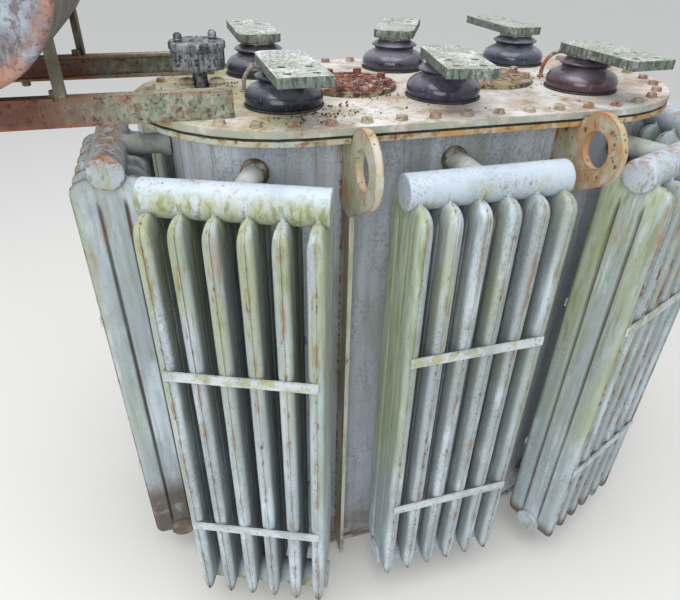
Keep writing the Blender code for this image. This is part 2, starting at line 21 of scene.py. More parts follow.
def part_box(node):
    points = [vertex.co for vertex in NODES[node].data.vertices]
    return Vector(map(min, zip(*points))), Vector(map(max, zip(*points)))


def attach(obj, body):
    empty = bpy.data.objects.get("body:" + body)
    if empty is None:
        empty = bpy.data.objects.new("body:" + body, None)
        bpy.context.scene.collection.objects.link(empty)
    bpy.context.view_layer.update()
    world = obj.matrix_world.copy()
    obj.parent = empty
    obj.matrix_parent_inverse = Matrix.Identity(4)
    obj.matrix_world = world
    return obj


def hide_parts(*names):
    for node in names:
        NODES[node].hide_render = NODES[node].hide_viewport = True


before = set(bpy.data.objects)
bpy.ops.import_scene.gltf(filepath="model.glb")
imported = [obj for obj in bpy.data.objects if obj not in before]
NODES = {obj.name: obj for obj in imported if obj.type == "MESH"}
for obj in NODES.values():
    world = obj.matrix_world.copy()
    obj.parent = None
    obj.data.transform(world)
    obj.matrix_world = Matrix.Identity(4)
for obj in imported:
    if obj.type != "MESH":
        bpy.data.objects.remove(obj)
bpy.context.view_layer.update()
SCENE = bpy.context.scene

# %% [markdown]
# ## Where things are
#
# A few sizes of the tank are needed again and again. They are read from the CAD boxes where
# that is possible, so the pieces stay seated if the model is rebuilt. The rest repeat the
# named sizes of the CAD source.

# %% Sizes shared by several pieces
def box_of(node):
    low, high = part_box(node)
    return Vector(low), Vector(high)


SHELL_LOW, SHELL_HIGH = box_of("tank_shell")
TANK_X = (SHELL_LOW.x + SHELL_HIGH.x) / 2
TANK_RADIUS = SHELL_HIGH.y
STRAIGHT_HALF = (SHELL_HIGH.x - SHELL_LOW.x) / 2 - TANK_RADIUS
COVER_TOP = box_of("cover_plate")[1].z
SEAT_GAP = 0.0003
SEAT = COVER_TOP + SEAT_GAP
MM = 0.001
print("tank centre x", round(TANK_X, 4), "cover top", round(COVER_TOP, 4))

# %% [markdown]
# ## The camera
#
# The photograph was taken at eye height, looking down at the front and a little to the
# right. The position and angles come from fitting about ninety points of the object, so
# the render can be compared with the photograph region by region.

# %% Camera at the photograph's viewpoint
PITCH, ROLL, YAW = (math.radians(angle) for angle in (33.5, 1.21, 16.92))
level = Vector((math.sin(YAW), math.cos(YAW), 0))
side = Vector((math.cos(YAW), -math.sin(YAW), 0))
ahead = level * math.cos(PITCH) - Vector((0, 0, math.sin(PITCH)))
above = level * math.sin(PITCH) + Vector((0, 0, math.cos(PITCH)))
right = side * math.cos(ROLL) + above * math.sin(ROLL)
up = above * math.cos(ROLL) - side * math.sin(ROLL)
camera_data = bpy.data.cameras.new("photo_camera")
SENSOR_MM, FOCAL_PIXELS, FRAME_PIXELS = 36, 561.62, 680
camera_data.sensor_width = SENSOR_MM
camera_data.lens = FOCAL_PIXELS / FRAME_PIXELS * SENSOR_MM
camera = bpy.data.objects.new("photo_camera", camera_data)
SCENE.collection.objects.link(camera)
camera.matrix_world = Matrix.Translation((TANK_X - 0.558, -1.281, 1.636)) @ Matrix(
    (right, up, -ahead)).transposed().to_4x4()
SCENE.camera = camera
SCENE.view_settings.view_transform = "Standard"
print("camera lens", round(camera_data.lens, 2), "mm")

# %% [markdown]
# ## A finish is layers of weather over paint
#
# Every material below is built in the same order as nature did it: a base coat, then
# chalking, rain streaks, mould, algae, rust and mud, each as one colour laid over the last
# through a mask, and many end with painted shade, a dark coat in sheltered corners. Colours
# are written as sRGB hex, as a paint chart gives them, and one function turns them into the
# linear values that Blender mixes.

# %% Colours and nodes
def linear(hex_text):
    channels = [int(hex_text[start:start + 2], 16) / 255 for start in (1, 3, 5)]
    bent = [c / 12.92 if c <= 0.04045 else ((c + 0.055) / 1.055) ** 2.4 for c in channels]
    return (*bent, 1.0)


def add_node(tree, kind, settings=None, inputs=None):
    """Adds a node, sets its properties, and sets or links its inputs."""
    node = tree.nodes.new(kind)
    for name, value in (settings or {}).items():
        setattr(node, name, value)
    for name, value in (inputs or {}).items():
        if isinstance(value, bpy.types.NodeSocket):
            tree.links.new(value, node.inputs[name])
        else:
            node.inputs[name].default_value = value
    return node


# %% [markdown]
# ## Masks: where the weather got to, and where shade is painted
#
# A mask runs from 0 to 1 over the surface. Patches come from noise whose scale is worked
# out from a size in millimetres; a stretch pulls them out along Z, as running water does.
# Other masks follow the height, the way a face looks, sheltered corners for painted shade, and
# sharp edges.

# %% Masks of weather and of painted shade
def patches(tree, size_mm, cover, soft=0.04, stretch=1.0, seed=0.0):
    """Patches about size_mm wide over a share of the surface, drawn out along Z."""
    place = add_node(tree, "ShaderNodeTexCoord").outputs["Object"]
    moved = add_node(tree, "ShaderNodeMapping", {}, {
        "Vector": place, "Location": (seed, seed * 1.7, seed * 0.6),
        "Scale": (1, 1, 1 / stretch)})
    cloud = add_node(tree, "ShaderNodeTexNoise", {}, {
        "Vector": moved.outputs[0], "Scale": 500 / size_mm, "Detail": 6, "Roughness": 0.62})
    level = 0.5 + 0.105 * NormalDist().inv_cdf(1 - cover)
    return add_node(tree, "ShaderNodeMapRange", {"interpolation_type": "SMOOTHSTEP"}, {
        "Value": cloud.outputs[0], "From Min": level - soft,
        "From Max": level + soft}).outputs["Result"]


def along_height(tree, none, full):
    """0 at one height and 1 at another, in metres above the ground."""
    place = add_node(tree, "ShaderNodeTexCoord").outputs["Object"]
    split = add_node(tree, "ShaderNodeSeparateXYZ", {}, {0: place})
    return add_node(tree, "ShaderNodeMapRange", {"interpolation_type": "SMOOTHSTEP"}, {
        "Value": split.outputs["Z"], "From Min": none, "From Max": full}).outputs["Result"]


def along_length(tree, none, full, axis="X"):
    """0 at one place along the tank and 1 at another, in metres."""
    place = add_node(tree, "ShaderNodeTexCoord").outputs["Object"]
    split = add_node(tree, "ShaderNodeSeparateXYZ", {}, {0: place})
    return add_node(tree, "ShaderNodeMapRange", {"interpolation_type": "SMOOTHSTEP"}, {
        "Value": split.outputs[axis], "From Min": none, "From Max": full}).outputs["Result"]


def looking(tree, direction, none, full):
    """1 where the surface looks along a direction, from the cosines none to full."""
    normal = add_node(tree, "ShaderNodeNewGeometry").outputs["Normal"]
    turned = add_node(tree, "ShaderNodeVectorMath", {"operation": "DOT_PRODUCT"}, {
        0: normal, 1: direction})
    return add_node(tree, "ShaderNodeMapRange", {"interpolation_type": "SMOOTHSTEP"}, {
        "Value": turned.outputs["Value"], "From Min": none,
        "From Max": full}).outputs["Result"]


def painted_shade_in_corners(tree, reach_mm, none=0.75, full=0.3):
    """1 in corners and gaps that the open sky doesn't reach, for a dark coat of painted shade."""
    open_sky = add_node(tree, "ShaderNodeAmbientOcclusion", {"samples": 6}, {
        "Distance": reach_mm * MM})
    return add_node(tree, "ShaderNodeMapRange", {"interpolation_type": "SMOOTHSTEP"}, {
        "Value": open_sky.outputs["AO"], "From Min": none,
        "From Max": full}).outputs["Result"]


def worn_edges(tree, radius_mm):
    """1 along the sharp edges, where paint is thin and rust starts."""
    rounded = add_node(tree, "ShaderNodeBevel", {"samples": 4}, {"Radius": radius_mm * MM})
    normal = add_node(tree, "ShaderNodeNewGeometry").outputs["Normal"]
    turned = add_node(tree, "ShaderNodeVectorMath", {"operation": "DOT_PRODUCT"}, {
        0: rounded.outputs[0], 1: normal})
    return add_node(tree, "ShaderNodeMapRange", {"interpolation_type": "SMOOTHSTEP"}, {
        "Value": turned.outputs["Value"], "From Min": 0.995,
        "From Max": 0.86}).outputs["Result"]


def marked(tree, mark):
    """A mark stored on the mesh's points when the piece was built, such as a seam."""
    return add_node(tree, "ShaderNodeAttribute", {"attribute_name": mark}).outputs["Fac"]


def both(tree, *masks):
    """Where all the masks meet. A plain number thins the result."""
    result = masks[0]
    for mask in masks[1:]:
        result = add_node(tree, "ShaderNodeMath", {"operation": "MULTIPLY"}, {
            0: result, 1: mask}).outputs[0]
    return result


# %% [markdown]
# ## From layers to a material
#
# One function lays the coats, mixes a roughness with them and raises the relief. Each coat
# is a colour, its roughness, how far it stands proud in millimetres, and its mask. The
# relief is in real heights, so the Bump node's distance is one metre.

# %% Build a finish from its coats
def finish(name, paint, roughness, coats, grain_mm=3.0, grain_height_mm=0.08,
           metallic=0.0, edge_mm=0.0, clear=0.0):
    material = bpy.data.materials.new(name)
    material.use_nodes = True
    tree = material.node_tree
    shader = tree.nodes["Principled BSDF"]
    shader.inputs["Metallic"].default_value = metallic
    shader.inputs["Coat Weight"].default_value = clear
    colour = add_node(tree, "ShaderNodeRGB").outputs[0]
    colour.default_value = linear(paint)
    rough = add_node(tree, "ShaderNodeValue").outputs[0]
    rough.default_value = roughness
    place = add_node(tree, "ShaderNodeTexCoord").outputs["Object"]
    grain = add_node(tree, "ShaderNodeTexNoise", {}, {
        "Vector": place, "Scale": 500 / grain_mm, "Detail": 3})
    height = add_node(tree, "ShaderNodeMath", {"operation": "MULTIPLY"}, {
        0: grain.outputs[0], 1: grain_height_mm * MM}).outputs[0]
    for coat, coat_roughness, proud_mm, mask_of in coats:
        mask = mask_of(tree)
        colour = add_node(tree, "ShaderNodeMix", {"data_type": "RGBA"}, {
            0: mask, 6: colour, 7: linear(coat)}).outputs[2]
        rough = add_node(tree, "ShaderNodeMix", {"data_type": "FLOAT"}, {
            0: mask, 2: rough, 3: coat_roughness}).outputs[0]
        if proud_mm:
            height = add_node(tree, "ShaderNodeMath", {"operation": "MULTIPLY_ADD"}, {
                0: mask, 1: proud_mm * MM, 2: height}).outputs[0]
    bump_inputs = {"Height": height, "Distance": 1.0, "Strength": 1.0}
    if edge_mm:
        bump_inputs["Normal"] = add_node(
            tree, "ShaderNodeBevel", {"samples": 4}, {"Radius": edge_mm * MM}).outputs[0]
    bump = add_node(tree, "ShaderNodeBump", {}, bump_inputs)
    tree.links.new(colour, shader.inputs["Base Color"])
    tree.links.new(rough, shader.inputs["Roughness"])
    tree.links.new(bump.outputs["Normal"], shader.inputs["Normal"])
    print("finish", name, "with", len(coats), "coats")
    return material


# %% [markdown]
# ## Paint on the radiators
#
# Pressed sheet steel with a sprayed grey-blue alkyd paint, now chalky. The pressed panels
# rust along their welded seams and in their grooves, carry painted shade in their grooves
# and in the gaps between them, and grow yellow-green algae where rain runs off the header.
# Panels near the ground are splashed with brown mud. Each radiator gets its own amounts,
# because the photographed ones differ plainly.

# %% Finish of the pressed panels
def panel_paint(name, algae, rust, mud, outside, seed):
    return finish(name, "#A6B1B8", 0.6, [
        ("#95A0A5", 0.64, 0, lambda t: patches(t, 150, 0.5, 0.12, 2.5, seed)),
        ("#BBC6CE", 0.55, 0, lambda t: patches(t, 40, 0.30, 0.09, 3, seed + 1)),
        ("#87928F", 0.66, 0, lambda t: both(t, patches(t, 8, 0.36, 0.08, 14, seed + 2), 0.6)),
        ("#6A7472", 0.75, 0.04, lambda t: both(
            t, patches(t, 2.4, 0.28, 0.07, 1.6, seed + 3),
            patches(t, 70, 0.45, 0.10, 1.5, seed + 4), 0.55)),
        ("#94996A", 0.78, 0.04, lambda t: both(
            t, patches(t, 24, algae, 0.12, 8, seed + 5), along_height(t, 0.45, 1.15), 0.75)),
        ("#7B8050", 0.82, 0.08, lambda t: both(
            t, patches(t, 6, algae * 0.45, 0.07, 6, seed + 6),
            along_height(t, 0.65, 1.2), 0.7)),
        ("#93A07A", 0.8, 0.05, lambda t: both(
            t, marked(t, "outside"), patches(t, 30, outside, 0.14, 12, seed + 13),
            along_height(t, 0.38, 0.62), 0.72)),
        ("#6F7C4C", 0.84, 0.08, lambda t: both(
            t, marked(t, "outside"), patches(t, 7, outside * 0.45, 0.09, 10, seed + 14),
            along_height(t, 0.42, 0.8), 0.62)),
        # Painted shade: every groove is darkened along its whole length, where its shadow falls.
        ("#56564E", 0.85, 0, lambda t: both(t, marked(t, "groove"), 0.5)),
        ("#775C48", 0.9, 0.05, lambda t: both(
            t, marked(t, "groove"), patches(t, 20, 0.2 + rust * 0.3, 0.06, 8, seed + 7), 0.7)),
        ("#8E6B50", 0.88, 0.08, lambda t: both(
            t, marked(t, "seam"), patches(t, 12, 0.18 + rust * 0.3, 0.08, 3, seed + 8), 0.75)),
        ("#6E4632", 0.92, 0.15, lambda t: both(
            t, marked(t, "seam"), patches(t, 5, 0.10 + rust * 0.2, 0.05, 3, seed + 9), 0.85)),
        ("#A06E48", 0.88, 0.05, lambda t: both(
            t, patches(t, 22, 0.01 + rust * 0.16, 0.08, 3, seed + 10),
            along_height(t, 0.85, 1.2), 0.8)),
        ("#7E4E38", 0.9, 0.1, lambda t: both(t, patches(
            t, 4, 0.006 + rust * 0.016, 0.03, 2, seed + 11), 0.85)),
        ("#55493F", 0.92, 0.15, lambda t: both(
            t, patches(t, 40, 0.90, 0.12, 1, seed + 12),
            along_height(t, 0.13 + mud, 0.09 + mud * 0.7), 0.92)),
        # Painted shade: a dark coat in the gaps between panels and other sheltered corners.
        ("#3F4648", 0.9, 0, lambda t: both(t, painted_shade_in_corners(t, 60), 0.3)),
    ], grain_mm=2.5, grain_height_mm=0.10)


# Shares of algae and rust, how far up the mud reaches in metres, algae on the outer faces
RADIATOR_WEATHER = {
    "left_end": (0.16, 0.75, 0.26, 0.15), "front_left": (0.45, 0.22, 0.03, 0.35),
    "front_centre": (0.22, 0.16, 0.02, 0.72), "front_right": (0.35, 0.50, 0.05, 0.42),
    "right_end": (0.25, 0.4, 0.12, 0.3), "back_right": (0.3, 0.3, 0.10, 0.3),
    "back_centre": (0.3, 0.3, 0.10, 0.3), "back_left": (0.3, 0.35, 0.12, 0.3)}
PANEL_PAINTS = {
    name: panel_paint(f"grey_blue_panel_paint_{name}", *weather, index * 3.1)
    for index, (name, weather) in enumerate(RADIATOR_WEATHER.items())}

# %% [markdown]
# ## Paint on the header tubes, links and straps
#
# The same alkyd paint, but these parts meet the rain first. Their tops carry a painted
# highlight in pale patches, algae hangs on their outer flanks, and rust creeps along the top
# line of the tube. The shares in the table are algae and rust, then how far up the mud
# reaches in metres.

# %% Finishes of tubes and straps
def header_paint(name, algae, rust, mud, seed):
    return finish(name, "#AEB9C4", 0.5, [
        ("#9CA7B1", 0.58, 0, lambda t: patches(t, 80, 0.45, 0.10, 1, seed)),
        # Painted highlight: a paler, glossier coat along the top of the tube, where light falls
        # from above.
        ("#BEC9D4", 0.44, 0, lambda t: both(
            t, marked(t, "crown"), patches(t, 60, 0.6, 0.12, 1, seed + 3), 0.6)),
        ("#9BA06C", 0.78, 0.06, lambda t: both(
            t, marked(t, "flank"), patches(t, 16, algae, 0.12, 2.5, seed + 1), 0.8)),
        ("#767B4C", 0.82, 0.08, lambda t: both(
            t, marked(t, "flank"), patches(t, 6, algae * 0.6, 0.06, 2.5, seed + 2), 0.75)),
        ("#6A7472", 0.75, 0.04, lambda t: both(
            t, patches(t, 2.6, 0.24, 0.06, 1, seed + 4), patches(t, 60, 0.45, 0.08, 1, seed + 5),
            0.5)),
        ("#97714C", 0.88, 0.08, lambda t: both(
            t, marked(t, "crown"), patches(t, 12, rust * 0.7, 0.09, 1, seed + 6), 0.85)),
        ("#874A30", 0.9, 0.12, lambda t: both(
            t, marked(t, "crown"), patches(t, 5, 0.03 + rust * 0.24, 0.04, 1, seed + 7))),
        ("#94694B", 0.88, 0.08, lambda t: both(
            t, marked(t, "seam"), patches(t, 9, 0.06 + rust * 0.22, 0.05, 1, seed + 8))),
        ("#5A4B40", 0.92, 0.15, lambda t: both(
            t, patches(t, 40, 0.92, 0.12, 1, seed + 9), along_height(t, 0.04 + mud, mud), 0.9)),
        # Painted shade: a dark coat where the tube meets the panels and in other sheltered corners.
        ("#3F4446", 0.9, 0, lambda t: both(t, painted_shade_in_corners(t, 25), 0.35)),
    ], grain_mm=2.0, grain_height_mm=0.10)


HEADER_WEATHER = {
    "left_end": (0.40, 0.85, 0.20), "front_left": (0.62, 0.22, 0.03),
    "front_centre": (0.20, 0.08, 0.02), "front_right": (0.30, 0.40, 0.05),
    "right_end": (0.35, 0.3, 0.10), "back_right": (0.3, 0.3, 0.10),
    "back_centre": (0.3, 0.3, 0.10), "back_left": (0.3, 0.4, 0.10)}
HEADER_PAINTS = {
    name: header_paint(f"header_paint_with_painted_highlight_{name}", *weather, index * 4.3)
    for index, (name, weather) in enumerate(HEADER_WEATHER.items())}


def link_paint(name, rust):
    return finish(name, "#B4B9B7", 0.55, [
        ("#9CA29F", 0.65, 0, lambda t: patches(t, 30, 0.4, 0.10, 1, 2)),
        ("#80583F", 0.9, 0.15, lambda t: both(
            t, marked(t, "seam"), patches(t, 25, rust, 0.10), 0.9)),
        ("#4E3A2E", 0.92, 0.25, lambda t: both(
            t, marked(t, "seam"), patches(t, 10, rust * 0.7, 0.05, 1, 4), 0.9)),
        ("#87583E", 0.9, 0.1, lambda t: patches(t, 12, rust * 0.08, 0.04, 1, 6)),
        ("#8B8E6A", 0.8, 0.05, lambda t: both(t, patches(t, 18, 0.2, 0.08, 1, 7), 0.6)),
        # Painted shade: a dark coat in sheltered corners round the link.
        ("#3F3F38", 0.9, 0, lambda t: both(t, painted_shade_in_corners(t, 30), 0.4)),
    ], grain_mm=2.0, grain_height_mm=0.10)


RUSTED_LINK = link_paint("rust_ringed_link_paint", 0.75)
SOUND_LINK = link_paint("grey_link_paint", 0.12)

STRAP_PAINT = finish("pale_strap_paint", "#B9C1C4", 0.6, [
    ("#9FA8A6", 0.7, 0, lambda t: patches(t, 25, 0.4, 0.08, 1, 1)),
    ("#98995F", 0.8, 0.05, lambda t: both(
        t, patches(t, 14, 0.35, 0.08, 1, 2), along_height(t, 0.5, 0.8), 0.75)),
    ("#5D625A", 0.8, 0.03, lambda t: patches(t, 4, 0.10, 0.03, 1, 3)),
    ("#8E5632", 0.9, 0.1, lambda t: patches(t, 9, 0.05, 0.03, 1, 4)),
], grain_mm=2.0, grain_height_mm=0.08)

# %% [markdown]
# ## The radiators
#
# Each radiator has six panels, and a panel is two pressed sheets welded round their rim.
# The CAD solid has the right sizes with few faces. Here the panel is a loft of many level
# rings: across the width the sheet rises from a thin welded lip, swells into three flutes
# and dips in two narrow grooves; up the height it narrows to the neck that enters the
# header. A function gives the shape, so the rings can be as dense as the curve needs.

# %% The shape of a panel
PANEL_WIDTH, PANEL_THICKNESS, PANEL_PITCH, PANEL_COUNT = 0.154, 0.032, 0.060, 6
PANEL_BOTTOM, PANEL_TOP, PANEL_SHOULDER = 0.110, 1.234, 1.222
FULL_HALF, TOE_HALF, NECK_HALF = 0.077, 0.066, 0.040
LIP_THICKNESS, LIP_SHARE = 0.0026, 0.962
GROOVE_DEPTH, GROOVE_PLACE_SHARE, GROOVE_WIDTH_SHARE = 0.009, 0.333, 0.072
HEADER_RADIUS, HEADER_LENGTH, HEADER_LEVELS = 0.035, 0.340, (1.236, 0.128)
LINK_RADIUS, COLLAR_RADIUS = 0.022, 0.028
STRAP_HALF, STRAP_HALF_HEIGHT = 0.156, 0.011
STRAP_LEVELS = [PANEL_BOTTOM + share * 1.082 for share in (0.274, 0.720)]
ACROSS = (1, 0.98, 0.962, 0.955, 0.945, 0.93, 0.90, 0.86, 0.80, 0.72, 0.60, 0.48, 0.42, 0.39,
          0.362, 0.333, 0.304, 0.276, 0.246, 0.19, 0.10, 0)


def rounded_rise(value):
    """A quarter of an ellipse from 0 to 1."""
    value = min(max(value, 0.0), 1.0)
    return math.sqrt(1 - (1 - value) ** 2)


def panel_half_width(z):
    low = TOE_HALF + (FULL_HALF - TOE_HALF) * rounded_rise((z - PANEL_BOTTOM) / 0.036)
    high = NECK_HALF + (FULL_HALF - NECK_HALF) * rounded_rise((PANEL_SHOULDER - z) / 0.030)
    above = NECK_HALF - 0.8 * (z - PANEL_SHOULDER) if z > PANEL_SHOULDER else FULL_HALF
    return min(low, high, above)


def panel_swell(z):
    low = 0.14 + 0.86 * rounded_rise((z - PANEL_BOTTOM) / 0.085)
    high = 0.30 + 0.70 * rounded_rise((PANEL_SHOULDER - z) / 0.052)
    return min(low, high)


def groove_share(share, z):
    """How deep a point is in one of the two grooves, from 0 to 1."""
    across = max(0.0, 1 - abs(abs(share) - GROOVE_PLACE_SHARE) / GROOVE_WIDTH_SHARE)
    ends = min(1.0, max(0.0, (z - 0.145) / 0.03), max(0.0, (1.186 - z) / 0.028))
    return across * across * (3 - 2 * across) * max(ends, 0.0)


def panel_half_thickness(share, z):
    outer = abs(share)
    if outer >= LIP_SHARE:
        return LIP_THICKNESS / 2
    rise = rounded_rise((LIP_SHARE - outer) / 0.15)
    crown = 0.0008 * math.cos(math.pi * min(1.0, outer / 0.333) * 2)
    full = (PANEL_THICKNESS / 2 - 0.0008 + crown) * panel_swell(z)
    return LIP_THICKNESS / 2 + (full - LIP_THICKNESS / 2) * rise \
        - GROOVE_DEPTH * groove_share(share, z)


def panel_levels():
    low = [PANEL_BOTTOM + step for step in (
        0, 0.003, 0.008, 0.015, 0.024, 0.035, 0.048, 0.062, 0.078, 0.095)]
    middle = [0.24 + index * 0.05 for index in range(18)]
    high = [PANEL_SHOULDER - step for step in (
        0.072, 0.062, 0.052, 0.044, 0.037, 0.030, 0.024, 0.018, 0.012, 0.007, 0.003, 0)]
    return low + middle + high + [PANEL_TOP]


# %% Add one panel to a mesh under construction
def add_panel(work, marks, x, seed, outer_facing):
    shares = [-share for share in ACROSS] + [share for share in reversed(ACROSS[:-1])]
    seam_mark, groove_mark, outside_mark = marks
    rings = []
    for z in panel_levels():
        ring = []
        for facing in (1, -1):
            for share in (shares if facing == 1 else reversed(shares)):
                half = panel_half_thickness(share, z)
                dent = 0.0007 * noise.noise(Vector((seed * 5 + facing, share * 2.5, z * 9)))
                lip = abs(share) >= LIP_SHARE
                point = work.verts.new((
                    x + facing * (half + (0 if lip else dent)),
                    share * panel_half_width(z), z))
                point[seam_mark] = max(0.0, min(1.0, (abs(share) - 0.945) / 0.015))
                point[groove_mark] = groove_share(share, z)
                point[outside_mark] = 1.0 if facing == outer_facing else 0.0
                ring.append(point)
        rings.append(ring)
    for lower, upper in zip(rings, rings[1:]):
        for index, point in enumerate(lower):
            after = (index + 1) % len(lower)
            work.faces.new((point, lower[after], upper[after], upper[index]))
    work.faces.new(reversed(rings[0]))
    work.faces.new(rings[-1])


# %% [markdown]
# ## Turned shapes
#
# Headers, pipes, bolts, bushings and the relief device are all turned: a profile of radius
# and height goes round an axis. One helper does it in the mesh under construction, takes a
# matrix for the place, and can store a mark at chosen points of the profile.

# %% Turn a profile
def add_turned(work, profile, steps, place, material=0, mark=None, marked_points=()):
    """profile holds (radius, height) pairs from the bottom up the outer side."""
    rings = []
    for number, (radius, height) in enumerate(profile):
        count = 1 if radius == 0 else steps
        ring = []
        for step in range(count):
            angle = 2 * math.pi * step / steps
            point = work.verts.new(place @ Vector((
                radius * math.cos(angle), radius * math.sin(angle), height)))
            if mark is not None:
                point[mark] = 1.0 if number in marked_points else 0.0
            ring.append(point)
        rings.append(ring)
    for lower, upper in zip(rings, rings[1:]):
        for step in range(steps):
            after = (step + 1) % steps
            corners = [lower[step % len(lower)], lower[after % len(lower)],
                       upper[after % len(upper)], upper[step % len(upper)]]
            corners = list(dict.fromkeys(corners))
            if len(corners) > 2:
                face = work.faces.new(corners)
                face.material_index = material
                face.smooth = True


def bar_profile(radius, length, rim):
    """A capped bar with softened rims."""
    return ((0, 0), (radius - 2 * rim, 0), (radius - rim, 0), (radius - rim * 0.3, rim * 0.3),
            (radius, rim), (radius, 3 * rim), (radius, length - 3 * rim), (radius, length - rim),
            (radius - rim * 0.3, length - rim * 0.3), (radius - rim, length),
            (radius - 2 * rim, length), (0, length))


# %% [markdown]
# ## Finishing a piece
#
# Every new piece has its faces turned outward, gets its materials, is smoothed by angle so
# that flats stay flat and round parts read as round, and rides on the one body of the model.

# %% Finish a mesh into a piece
def finish_piece(name, work, materials, replaced=(), angle=40):
    bmesh.ops.recalc_face_normals(work, faces=work.faces)
    mesh = bpy.data.meshes.new(name)
    work.to_mesh(mesh)
    work.free()
    for material in materials:
        mesh.materials.append(material)
    mesh.polygons.foreach_set("use_smooth", [True] * len(mesh.polygons))
    mesh.set_sharp_from_angle(angle=math.radians(angle))
    piece = bpy.data.objects.new(name, mesh)
    SCENE.collection.objects.link(piece)
    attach(piece, "root")
    if replaced:
        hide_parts(*replaced)
    triangles = sum(len(face.vertices) - 2 for face in mesh.polygons)
    print("piece", name, triangles, "triangles")
    return piece


def add_box(work, low, high, place=Matrix.Identity(4), material=0):
    corners = [work.verts.new(place @ Vector((x, y, z)))
               for z in (low[2], high[2]) for y in (low[1], high[1]) for x in (low[0], high[0])]
    for face in (
            (0, 2, 3, 1), (4, 5, 7, 6), (0, 1, 5, 4), (2, 6, 7, 3), (0, 4, 6, 2), (1, 3, 7, 5)):
        work.faces.new([corners[index] for index in face]).material_index = material


# %% Build the eight radiators
# Turn in degrees, end of the tank, and standoff of the headers from the wall
RADIATOR_PLACES = {
    "front_centre": (0, 0, 0.147), "front_right": (22.5, 1, 0.147), "right_end": (90, 1, 0.127),
    "back_right": (157.5, 1, 0.147), "back_centre": (180, 0, 0.147),
    "back_left": (202.5, -1, 0.147), "left_end": (-90, -1, 0.127),
    "front_left": (-22.5, -1, 0.147)}
MARKS = ("seam", "groove", "crown", "flank", "outside")
LYING_X = Matrix.Rotation(math.pi / 2, 4, "Y")
LYING_Y = Matrix.Rotation(-math.pi / 2, 4, "X")

for number, (name, (turn, tank_end, standoff)) in enumerate(RADIATOR_PLACES.items()):
    work = bmesh.new()
    for mark in MARKS:
        work.verts.layers.float.new(mark)
    seam, groove, crown, flank, outside = (work.verts.layers.float[mark] for mark in MARKS)
    for index in range(PANEL_COUNT):
        x = (index - (PANEL_COUNT - 1) / 2) * PANEL_PITCH
        add_panel(work, (seam, groove, outside), x, number * 7 + index,
                  {0: -1, PANEL_COUNT - 1: 1}.get(index, 0))
    for level_z in HEADER_LEVELS:
        first_new = len(work.verts)
        add_turned(work, bar_profile(HEADER_RADIUS, HEADER_LENGTH, 0.003), 40,
                   Matrix.Translation((-HEADER_LENGTH / 2, 0, level_z)) @ LYING_X,
                   1, seam, (2, 3, 4, 7, 8, 9))
        for point in list(work.verts)[first_new:]:
            round_way = Vector((0, point.co.y, point.co.z - level_z)).normalized()
            point[crown] = max(0.0, round_way.dot(Vector((0, 0.2, 0.98)))) ** 1.5
            point[flank] = max(0.0, min(1.0, 0.15 + 1.5 * round_way.dot(
                Vector((0, -0.72, -0.69)))))
        end = standoff - SEAT_GAP
        neck = ((0, 0), (LINK_RADIUS, 0), (LINK_RADIUS, end - 0.029),
                (LINK_RADIUS + 0.001, end - 0.019), (LINK_RADIUS + 0.003, end - 0.0142),
                (COLLAR_RADIUS - 0.0015, end - 0.0112), (COLLAR_RADIUS, end - 0.0087),
                (COLLAR_RADIUS, end), (0, end))
        add_turned(work, neck, 28, Matrix.Translation((0, 0, level_z)) @ LYING_Y,
                   2, seam, (3, 4, 5, 6, 7, 8))
    for level_z in STRAP_LEVELS:
        for face in (-1, 1):
            inner, outer = PANEL_WIDTH / 2 - 0.002, PANEL_WIDTH / 2 + 0.003
            low_y, high_y = sorted((face * inner, face * outer))
            add_box(work, (-STRAP_HALF, low_y, level_z - STRAP_HALF_HEIGHT),
                    (STRAP_HALF, high_y, level_z + STRAP_HALF_HEIGHT), material=3)
            for spot in (-0.132, 0.128):
                add_turned(work, ((0.0032, 0), (0.0032, 0.0006), (0.002, 0.0018), (0, 0.002)), 10,
                           Matrix.Translation((spot, face * outer, level_z + 0.002))
                           @ Matrix.Rotation(-face * math.pi / 2, 4, "X"), 3)
    angle = math.radians(turn)
    outward = Vector((math.sin(angle), -math.cos(angle), 0))
    centre = Vector((TANK_X + tank_end * STRAIGHT_HALF, 0, 0)) + outward * (
        TANK_RADIUS + standoff)
    work.transform(Matrix.Translation(centre) @ Matrix.Rotation(angle, 4, "Z"))
    finish_piece(f"pressed_radiator_{name}", work,
                 [PANEL_PAINTS[name], HEADER_PAINTS[name],
                  RUSTED_LINK if name.startswith("front") else SOUND_LINK, STRAP_PAINT],
                 (f"radiator_{name}",))

# %% [markdown]
# ## The tank, its cover and its lifting eyes
#
# The tank is rolled plate and its solid has the right shape, so it keeps its CAD mesh and
# gets paint with mould speckle and long rain streaks. The cover is a flame-cut plate: cream
# paint worn thin, algae in the front left where water stands, brown stains, painted shade
# round the fittings, and a grey-green edge. The flange and the eyes are bare orange rust in
# places.

